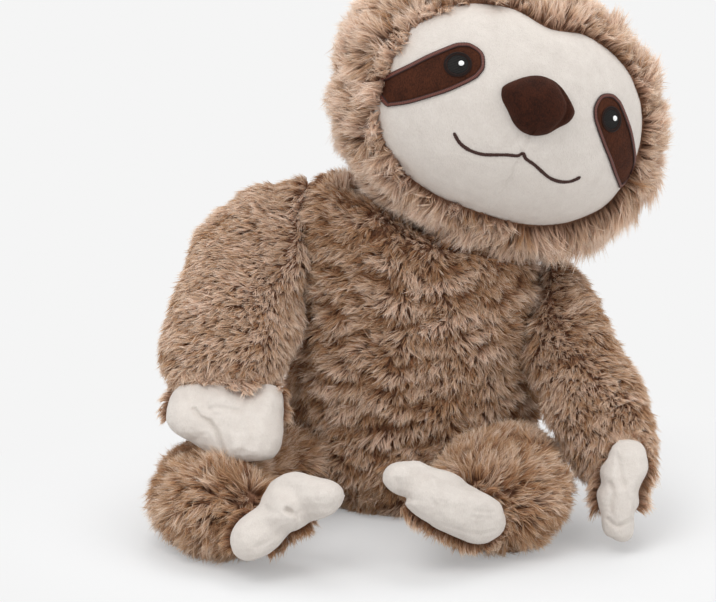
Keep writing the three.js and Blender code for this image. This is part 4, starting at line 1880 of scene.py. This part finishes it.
LEFT_HAND = PawShape(
    (108.6, -93.0, 31.9),
    (
        (-1, 26), (4, 26), (10, 25), (12, 22.5), (13, 19.5), (13.8, 15), (13.8, 10), (13, 6.5), (11.7, 2.5),
        (10.5, -1.5), (9.3, -5.5), (8, -9.5), (6, -12.5), (4.4, -15.3), (5.2, -17.7), (5.8, -20.6),
        (5.2, -23.8), (3.6, -26.5), (0, -27.8), (-3.8, -27), (-7, -25.5), (-9.5, -23.8), (-10.9, -21.4),
        (-10.9, -17.7), (-11, -15), (-12.3, -12), (-13.2, -8), (-13.9, -3.5), (-12.6, 0), (-11.2, 3),
        (-11.4, 6), (-11.7, 10), (-11, 12.5), (-9, 15), (-7.4, 17.7), (-5.4, 22), (-4, 24.7),
    ),
    (
        Fold(((-3.5, 18), (-3, 15.7), (-1.7, 6.7), (-0.5, 3)), 1.8, 1.6),
        Fold(((-7.4, 3.5), (-6.2, -0.6), (-7.4, -5.5), (-7, -11.6)), 1.5, 1.2),
        Fold(((-8.5, -15.5), (-7, -17.3), (-3.8, -18.9), (0.3, -17.3), (4, -15.3)), 1.1, 1.8),
        Fold(((0, 1), (1.5, -5.5), (1.1, -11.6)), 2.0, 0.8),
    ),
)
RIGHT_FOOT = PawShape(
    (-67.0, -140.2, 33.5),
    (
        (4, 21), (9, 20), (14.7, 18.2), (19.8, 17.2), (24, 15.5), (27.2, 12.5), (28, 9.5), (27.2, 6.5),
        (25.5, 3.7), (22, -0.4), (16.8, -2.8), (11.7, -4.7), (7, -7), (3, -9.2), (0.4, -10.2),
        (-2.8, -13.6), (-6.3, -17), (-10, -20), (-15, -22.3), (-22, -23.8), (-25.8, -22.8),
        (-28.5, -20.3), (-30.2, -16), (-30.4, -12.3), (-28.9, -8), (-26.3, -4.6), (-22.5, -1.3),
        (-17.5, 1.8), (-16, 4), (-14.8, 7.8), (-12.7, 11.2), (-9.7, 15.3), (-4.5, 18.7), (0, 20.3),
    ),
    (
        Fold(((-1.5, 2.6), (0.5, 1.5), (3.2, -0.4), (3.6, -3.8), (2.7, -9.3)), 1.5, 2.2),
        Fold(((-0.8, 2.4), (0.4, 1.9)), 1.3, 1.2),
        Fold(((-16.5, -16.2), (-9.7, -12.8), (-4.5, -9.3), (0.6, -5.5)), 1.6, 0.9),
        Fold(((4, 1.4), (11.3, 3), (23, 3.7)), 1.8, 0.8),
    ),
)
LEFT_FOOT = PawShape(
    (12.6, -135.1, 38.2),
    (
        (-30, 17.5), (-27, 19.5), (-21.5, 20.5), (-15.7, 21.6), (-12.9, 20.9), (-9, 18.4), (-5.2, 16.8),
        (0.5, 15.6), (5.8, 13.5), (9.6, 11), (12.2, 8.2), (15.8, 5.8), (21.6, 3.4), (26, 0.6), (30.2, -2.3),
        (31.2, -6.6), (32.1, -12.3), (30.7, -17), (26.8, -20.5), (22.5, -22.6), (17.3, -23.1), (12, -21.4),
        (6.3, -19), (0, -16.2), (-5.2, -13.3), (-9, -10.6), (-12.4, -8.6), (-16.7, -5.2), (-19.6, -1.8),
        (-21.7, 1), (-23, 4), (-26.3, 4.8), (-29, 5.8), (-31, 8.2), (-32, 11), (-31.4, 15),
    ),
    (
        Fold(
            (
                (-23, 3.5), (-19, -1), (-14, -5.2), (-5.2, -9.9), (2.4, -12.5), (9.6, -15), (18.2, -17),
                (26, -15.5),
            ),
            1.0, 0.9,
        ),
        Fold(((15.8, -4.7), (22.5, -5.6)), 0.9, 0.6),
        Fold(((14.9, -7.6), (24, -9)), 0.9, 0.6),
        Fold(((-7.1, 2), (-4.7, -1.8), (-4.7, -4.7)), 1.4, 0.7),
        Fold(((-24.5, 11), (-23, 5)), 1.6, 1.4),
    ),
)


@dataclass(frozen=True)
class Cuff:
    """How a limb's pile goes on over its paw: on the paw's back and past its edges, within two levels and
    a span of its width, and in tufts over its top. The levels, the pile's length, the span and each
    tuft's middle, half width and drop are in millimetres in the paw's own plane. The spread is how far
    out to the sides the pile is brushed, and a hem is brushed down over the paw's edge."""

    lowest: float
    length: float
    spread: float
    highest: float = 50
    span: Pair = (-50, 50)
    hem: bool = True
    tufts: tuple[Triple, ...] = ()
    down: Triple = (0.1, -0.3, -1)
    tuft_pull: float = 0.45


@dataclass
class Limb:
    """An arm or a leg: a pile sleeve that ends in a cream velour paw."""

    body: Body
    paw_node: str
    shape: PawShape
    comb: Field
    tousle: Tousle
    seed: int
    cuff: Cuff
    bulges: tuple[Bulge, ...] = ()
    cuff_reach: float = 11 * MM
    bare_height: float = 0.8 * MM
    bare_reach: float = 20 * MM
    paw_voxel: float = 1.4 * MM

    def build(self) -> None:
        """Builds the sleeve, its pile and the paw."""
        name = self.body.value
        nodes = (f"{name}_plush", f"{name}_filling")
        paw = self.build_paw()
        skin = Skin(f"{name}_skin", self.body, nodes, voxel=3.5 * MM).build()
        if self.bulges:
            swell(skin, stuffed(*self.bulges))
        over_paw = self.over(paw)

        def keep(place: Array, normal: Array) -> Array:
            """Keeps the pile off what lies in or under the paw."""
            height, distance = over_paw(place)
            return 1.0 - ((height < self.bare_height) & (distance < self.bare_reach))

        Pile(skin, self.body, self.comb, self.tousle, keep, seed=self.seed).grow()
        self.grow_mitten(paw)
        self.grow_fringe(paw)
        if self.cuff.hem:
            self.grow_hem(paw, skin)
        finish_piece(skin, self.body, BACKING.material(), "brown_pile_cloth", *nodes)

    @staticmethod
    def over(obj: Piece) -> Callable[[Array], Array]:
        """Prepares a search for how places lie to an object.

        Args:
            obj: the object.

        Returns:
            A function that gives two rows for places: how far out from the object's nearest vertex each
            is along that vertex's normal, and how far away that vertex is.
        """
        tree = KDTree(len(obj.data.vertices))
        for i, vertex in enumerate(obj.data.vertices):
            tree.insert(vertex.co, i)
        tree.balance()

        def find(places: Array) -> Array:
            """Gives the two rows.

            Args:
                places: the places to set against the object.

            Returns:
                The heights and the distances.
            """
            rows = []
            for place in places:
                found, index, distance = tree.find(place)
                rows.append(((Vector(place) - found).dot(obj.data.vertices[index].normal), distance))
            return np.array(rows).reshape(-1, 2).T

        return find

    def grow_hem(self, paw: Piece, skin: Piece) -> None:
        """Lets the sleeve's last rows of pile hang over the paw, in uneven tufts.

        Args:
            paw: the paw.
            skin: the sleeve's skin.
        """
        over_paw = self.over(paw)

        def keep(place: Array, normal: Array) -> Array:
            """Keeps to the rows just outside the paw."""
            height, distance = over_paw(place)
            return ((height > 0) & (distance < self.cuff_reach)).astype(float)

        tousle = Tousle(
            tone=self.tousle.tone, length=12 * MM, uneven=0.3, rise=40, fall=94, swirl=12, tuft=5 * MM,
            tuft_pull=self.cuff.tuft_pull,
        )
        Pile(skin, self.body, towards(*self.cuff.down), tousle, keep, seed=self.seed + 1, label="cuff").grow()

    def grow_mitten(self, paw: Piece) -> None:
        """Lets the limb's pile go on down the back of the paw and stand out past its edges.

        Args:
            paw: the paw.
        """
        axes = self.shape.axes()
        left, right = self.cuff.span

        def comb(place: Array, normal: Array) -> Array:
            """Brushes down the back of the paw and out to its sides."""
            side = np.clip(self.shape.flat(place)[:, :1] / 12, -1, 1)
            return axes[0] * side * self.cuff.spread - axes[1] * 0.8 + axes[2] * 0.15

        def keep(place: Array, normal: Array) -> Array:
            """Keeps to the paw's back, between the cuff's levels and within its span.

            Args:
                place: places on the paw.
                normal: its normals there.

            Returns:
                The share of the pile that grows at each place.
            """
            flat = self.shape.flat(place)
            level = flat[:, 1] - waves(place, 12 * MM, self.seed + 4) * 3
            inside = ramp(flat[:, 0], left, 4) * ramp(-flat[:, 0], -right, 4)
            within = (level > self.cuff.lowest) & (level < self.cuff.highest)
            return (normal @ axes[2] < -0.05) * within * inside

        tousle = replace(
            self.tousle, length=self.cuff.length * MM, rise=12, fall=72, swirl=16,
            tuft_pull=self.cuff.tuft_pull,
        )
        Pile(paw, self.body, comb, tousle, keep, seed=self.seed + 2, label="mitten").grow()

    def grow_fringe(self, paw: Piece) -> None:
        """Lets tufts of pile hang from the sleeve's edge over the top of the hand.

        Args:
            paw: the paw.
        """
        if not self.cuff.tufts:
            return
        axes = self.shape.axes()
        top = max(up for _, up in self.shape.outline)

        def drop(place: Array) -> Array:
            """Gives how far the tufts hang down at each place, in millimetres."""
            side, tufts = self.shape.flat(place)[:, 0], self.cuff.tufts
            return sum(deep * np.exp(-(((side - middle) / half) ** 2)) for middle, half, deep in tufts)

        def keep(place: Array, normal: Array) -> Array:
            """Keeps to the front of the paw, above the tufts' lower edge."""
            level = self.shape.flat(place)[:, 1] - top + drop(place)
            return (normal @ axes[2] > -0.3) * ramp(level, 0, 2)

        def longer(place: Array, normal: Array) -> Array:
            """Makes the pile longer where a tuft hangs lower."""
            return 0.55 + drop(place) / 9

        # The fringe has a pale tone: painted light on its sparse, well lit tufts.
        tousle = replace(
            self.tousle, tone=0.8, length=9 * MM, uneven=0.2, rise=26, fall=92, swirl=14,
            tuft_pull=self.cuff.tuft_pull,
        )
        comb = towards(*self.cuff.down)
        Pile(paw, self.body, comb, tousle, keep, longer, seed=self.seed + 3, label="fringe").grow()

    def build_paw(self) -> Piece:
        """Builds the velour paw, stuffed lightly and then folded where its seams draw it in.

        Returns:
            The paw.
        """
        paw = cad_twin((self.paw_node,), f"{self.paw_node}_velour")
        modify(paw, "REMESH", mode="VOXEL", voxel_size=self.paw_voxel)
        modify(paw, "SMOOTH", factor=0.5, iterations=6)
        puff(paw, 3.0, 0.8 * MM, 12)
        modify(paw, "SMOOTH", factor=0.5, iterations=3)
        modify(paw, "SUBSURF", levels=1, render_levels=1)
        pressed = self.shape.press(points_of(paw), normals_of(paw))
        pressed[:, 2] = np.maximum(pressed[:, 2], FLOOR_LIFT)
        set_points(paw, pressed)
        finish_piece(paw, self.body, CREAM_VELOUR.material(), "cream_velour", self.paw_node)
        return paw


# The studio


@dataclass(frozen=True)
class Softbox:
    """A square soft lamp: its place, its width and its power in watts."""

    name: str
    place: Triple
    size: float
    power: float

    def hang(self, aim: Triple) -> None:
        """Hangs the lamp.

        Args:
            aim: the place that it points at.
        """
        data = bpy.data.lights.new(self.name, "AREA")
        data.size = self.size
        data.energy = self.power
        lamp = bpy.data.objects.new(self.name, data)
        lamp.location = self.place
        lamp.rotation_euler = (Vector(aim) - Vector(self.place)).to_track_quat("-Z", "Y").to_euler()
        bpy.context.scene.collection.objects.link(lamp)


@dataclass(frozen=True)
class Studio:
    """A white sweep with soft lamps and the camera at the picture's angle."""

    backdrop: str = "f5f5f5"
    card: str = "e0e0e0"
    surround: tuple[float, float, float, float] = (0.97, 0.985, 1.0, 1.0)
    surround_strength: float = 0.8
    floor_size: float = 16.0
    shadow_reach: Pair = (0.13, 0.27)
    shadow_loss: float = 0.3
    softboxes: tuple[Softbox, ...] = (
        Softbox("key_softbox", (-0.7, -1.1, 1.9), 1.2, 17.0),
        Softbox("fill_softbox", (1.3, -1.0, 0.9), 1.2, 6.5),
        Softbox("top_softbox", (0.2, 0.5, 1.8), 1.3, 12.0),
    )
    lamp_aim: Triple = (0.0, -0.03, 0.14)
    distance: float = 1.5
    elevation: float = 13.0
    aim: Triple = (-32 * MM, 0.0, 113 * MM)
    focal_pixels: float = 2678.6
    frame_width: int = 716
    sensor_width: float = 36.0

    def build(self) -> None:
        """Builds the floor, the world, the lamps and the camera."""
        self.build_floor()
        self.build_world()
        for softbox in self.softboxes:
            softbox.hang(self.lamp_aim)
        self.build_camera()
        bpy.context.scene.view_settings.view_transform = "Standard"

    def build_floor(self) -> None:
        """Builds the pale floor, which keeps the toy's shadow, lightened near the toy by an even glow that
        only the camera sees, and fades into the backdrop.
        """
        floor = added(bpy.ops.mesh.primitive_plane_add, "studio_floor", size=self.floor_size)
        material, tree = new_material("matt_white_card")
        place = add_node(tree, "TexCoord").outputs["Object"]
        shift = add_node(tree, "VectorMath", {"operation": "ADD"}, i0=place, i1=(0.0, 0.03, 0.0))
        far = add_node(tree, "VectorMath", {"operation": "LENGTH"}, i0=shift)
        near, edge = self.shadow_reach
        # Near the toy the camera sees a share of glow on the card: painted light that makes its shadow
        # lighter.
        fade = add_node(
            tree, "MapRange", {"interpolation_type": "SMOOTHSTEP"},
            i0=far.outputs["Value"], i1=near, i2=edge, i3=self.shadow_loss,
        )
        path = add_node(tree, "LightPath")
        hide = add_node(
            tree, "Math", {"operation": "MULTIPLY"}, i0=fade, i1=path.outputs["Is Camera Ray"]
        )
        card = add_node(tree, "BsdfDiffuse", Color=linear(self.card))
        glow = add_node(tree, "Emission", Color=linear(self.backdrop))
        both = add_node(tree, "MixShader", i0=hide, i1=card, i2=glow)
        add_node(tree, "OutputMaterial", Surface=both)
        floor.data.materials.append(material)

    def build_world(self) -> None:
        """Builds an even white surround, with the backdrop's colour where the camera sees it."""
        world = bpy.data.worlds.new("white_surround")
        world.use_nodes = True
        tree = world.node_tree
        tree.nodes.clear()
        path = add_node(tree, "LightPath")
        light = add_node(tree, "Background", Color=self.surround, Strength=self.surround_strength)
        seen = add_node(tree, "Background", Color=linear(self.backdrop))
        both = add_node(tree, "MixShader", i0=path.outputs["Is Camera Ray"], i1=light, i2=seen)
        add_node(tree, "OutputWorld", Surface=both)
        bpy.context.scene.world = world

    def build_camera(self) -> None:
        """Sets the camera at the picture's distance, height and focal length."""
        data = bpy.data.cameras.new("camera")
        data.sensor_width = self.sensor_width
        data.sensor_fit = "HORIZONTAL"
        data.lens = self.focal_pixels / self.frame_width * self.sensor_width
        camera = bpy.data.objects.new("camera", data)
        tilt = math.radians(self.elevation)
        camera.location = Vector(self.aim) + Vector((0, -math.cos(tilt), math.sin(tilt))) * self.distance
        camera.rotation_euler = (math.pi / 2 - tilt, 0.0, 0.0)
        bpy.context.scene.collection.objects.link(camera)
        bpy.context.scene.camera = camera


def limbs() -> list[Limb]:
    """Gives the four limbs, each with its own pile, combing, cuff and fuller parts.

    Returns:
        The limbs.
    """
    # The tones paint light and shade on one cloth: the right sleeve is palest where it catches the light, the
    # left sleeve less pale, and the legs darker.
    right_sleeve = Tousle(
        tone=0.68, length=8.5 * MM, rise=24, fall=82, swirl=13, stray=9, tuft=4.5 * MM, tuft_pull=0.24,
        ripple=5,
    )
    left_sleeve = Tousle(
        tone=0.55, length=8.5 * MM, rise=20, fall=78, swirl=24, stray=13, tuft=4.5 * MM, ripple=8
    )
    leg = Tousle(
        tone=0.48, length=11.5 * MM, rise=20, fall=70, swirl=34, stray=16, curl=0.25, tuft=5.5 * MM,
        tuft_pull=0.38,
    )
    down_arm = blended(towards(-0.75, -0.3, -0.8), towards(-1, -0.1, -0.12), by_place(Z, 80, 80))
    right_arm_comb = blended(down_arm, towards(0.05, -0.1, -1), by_facing(X, 0.25, 0.5))
    left_arm_comb = blended(towards(0.3, -0.3, -1), towards(0.9, -0.1, -0.6), by_place(Z, 70, 60))
    out_of_right_foot = away_from((-68 * MM, -140 * MM, 38 * MM), (0, 0.2, -1), 0.55)
    out_of_left_foot = away_from((18 * MM, -140 * MM, 42 * MM), (0.2, 0.3, -1), 0.25)
    right_shoulder = (
        Bulge((1, 0, 0), 5.5, heights=(55, 120)),
        Bulge((-1, 0, 0), 3, heights=(65, 110)),
        Bulge((-1, 0, 0), 5, above=(128, 20)),
        Bulge((0, 0, 1), -6.5, sides=(-112, -62), above=(128, 20)),
        Bulge((1, 0, 1), 4, above=(128, 20), beyond=(-74, 14)),
    )
    left_elbow = (Bulge((1, 0, 0), 5, heights=(15, 95)),)
    outer_thigh = (Bulge((-1, 0, 0), 4),)
    right_wrist_tufts = ((-31, 3, 7), (-11.5, 4, 2.5), (2, 8, 4), (12, 7, 6), (30, 4, 6))
    right_wrist = Cuff(4, 7, 0.45, tufts=right_wrist_tufts)
    left_wrist = Cuff(-9, 10, 0.85)
    right_ankle = Cuff(-16, 9, 0.4, 2, (-40, 12), hem=False)
    left_ankle = Cuff(-30, 8.5, 0.3, 0, (-22, 50), hem=False)
    return [
        Limb(
            Body.RIGHT_ARM, "right_hand", RIGHT_HAND, right_arm_comb, right_sleeve, 41, right_wrist,
            right_shoulder,
        ),
        Limb(Body.LEFT_ARM, "left_hand", LEFT_HAND, left_arm_comb, left_sleeve, 51, left_wrist, left_elbow),
        Limb(
            Body.RIGHT_LEG, "right_foot", RIGHT_FOOT, out_of_right_foot, leg, 61, right_ankle, outer_thigh
        ),
        Limb(Body.LEFT_LEG, "left_foot", LEFT_FOOT, out_of_left_foot, leg, 71, left_ankle),
    ]


def main() -> None:
    """Builds the toy and the studio."""
    parts = [Torso(), Neck(), Head(), *limbs()]
    for part in parts:
        log.info("building %s", type(part).__name__)
        part.build()
    Studio().build()


if __name__ == "__main__":
    main()
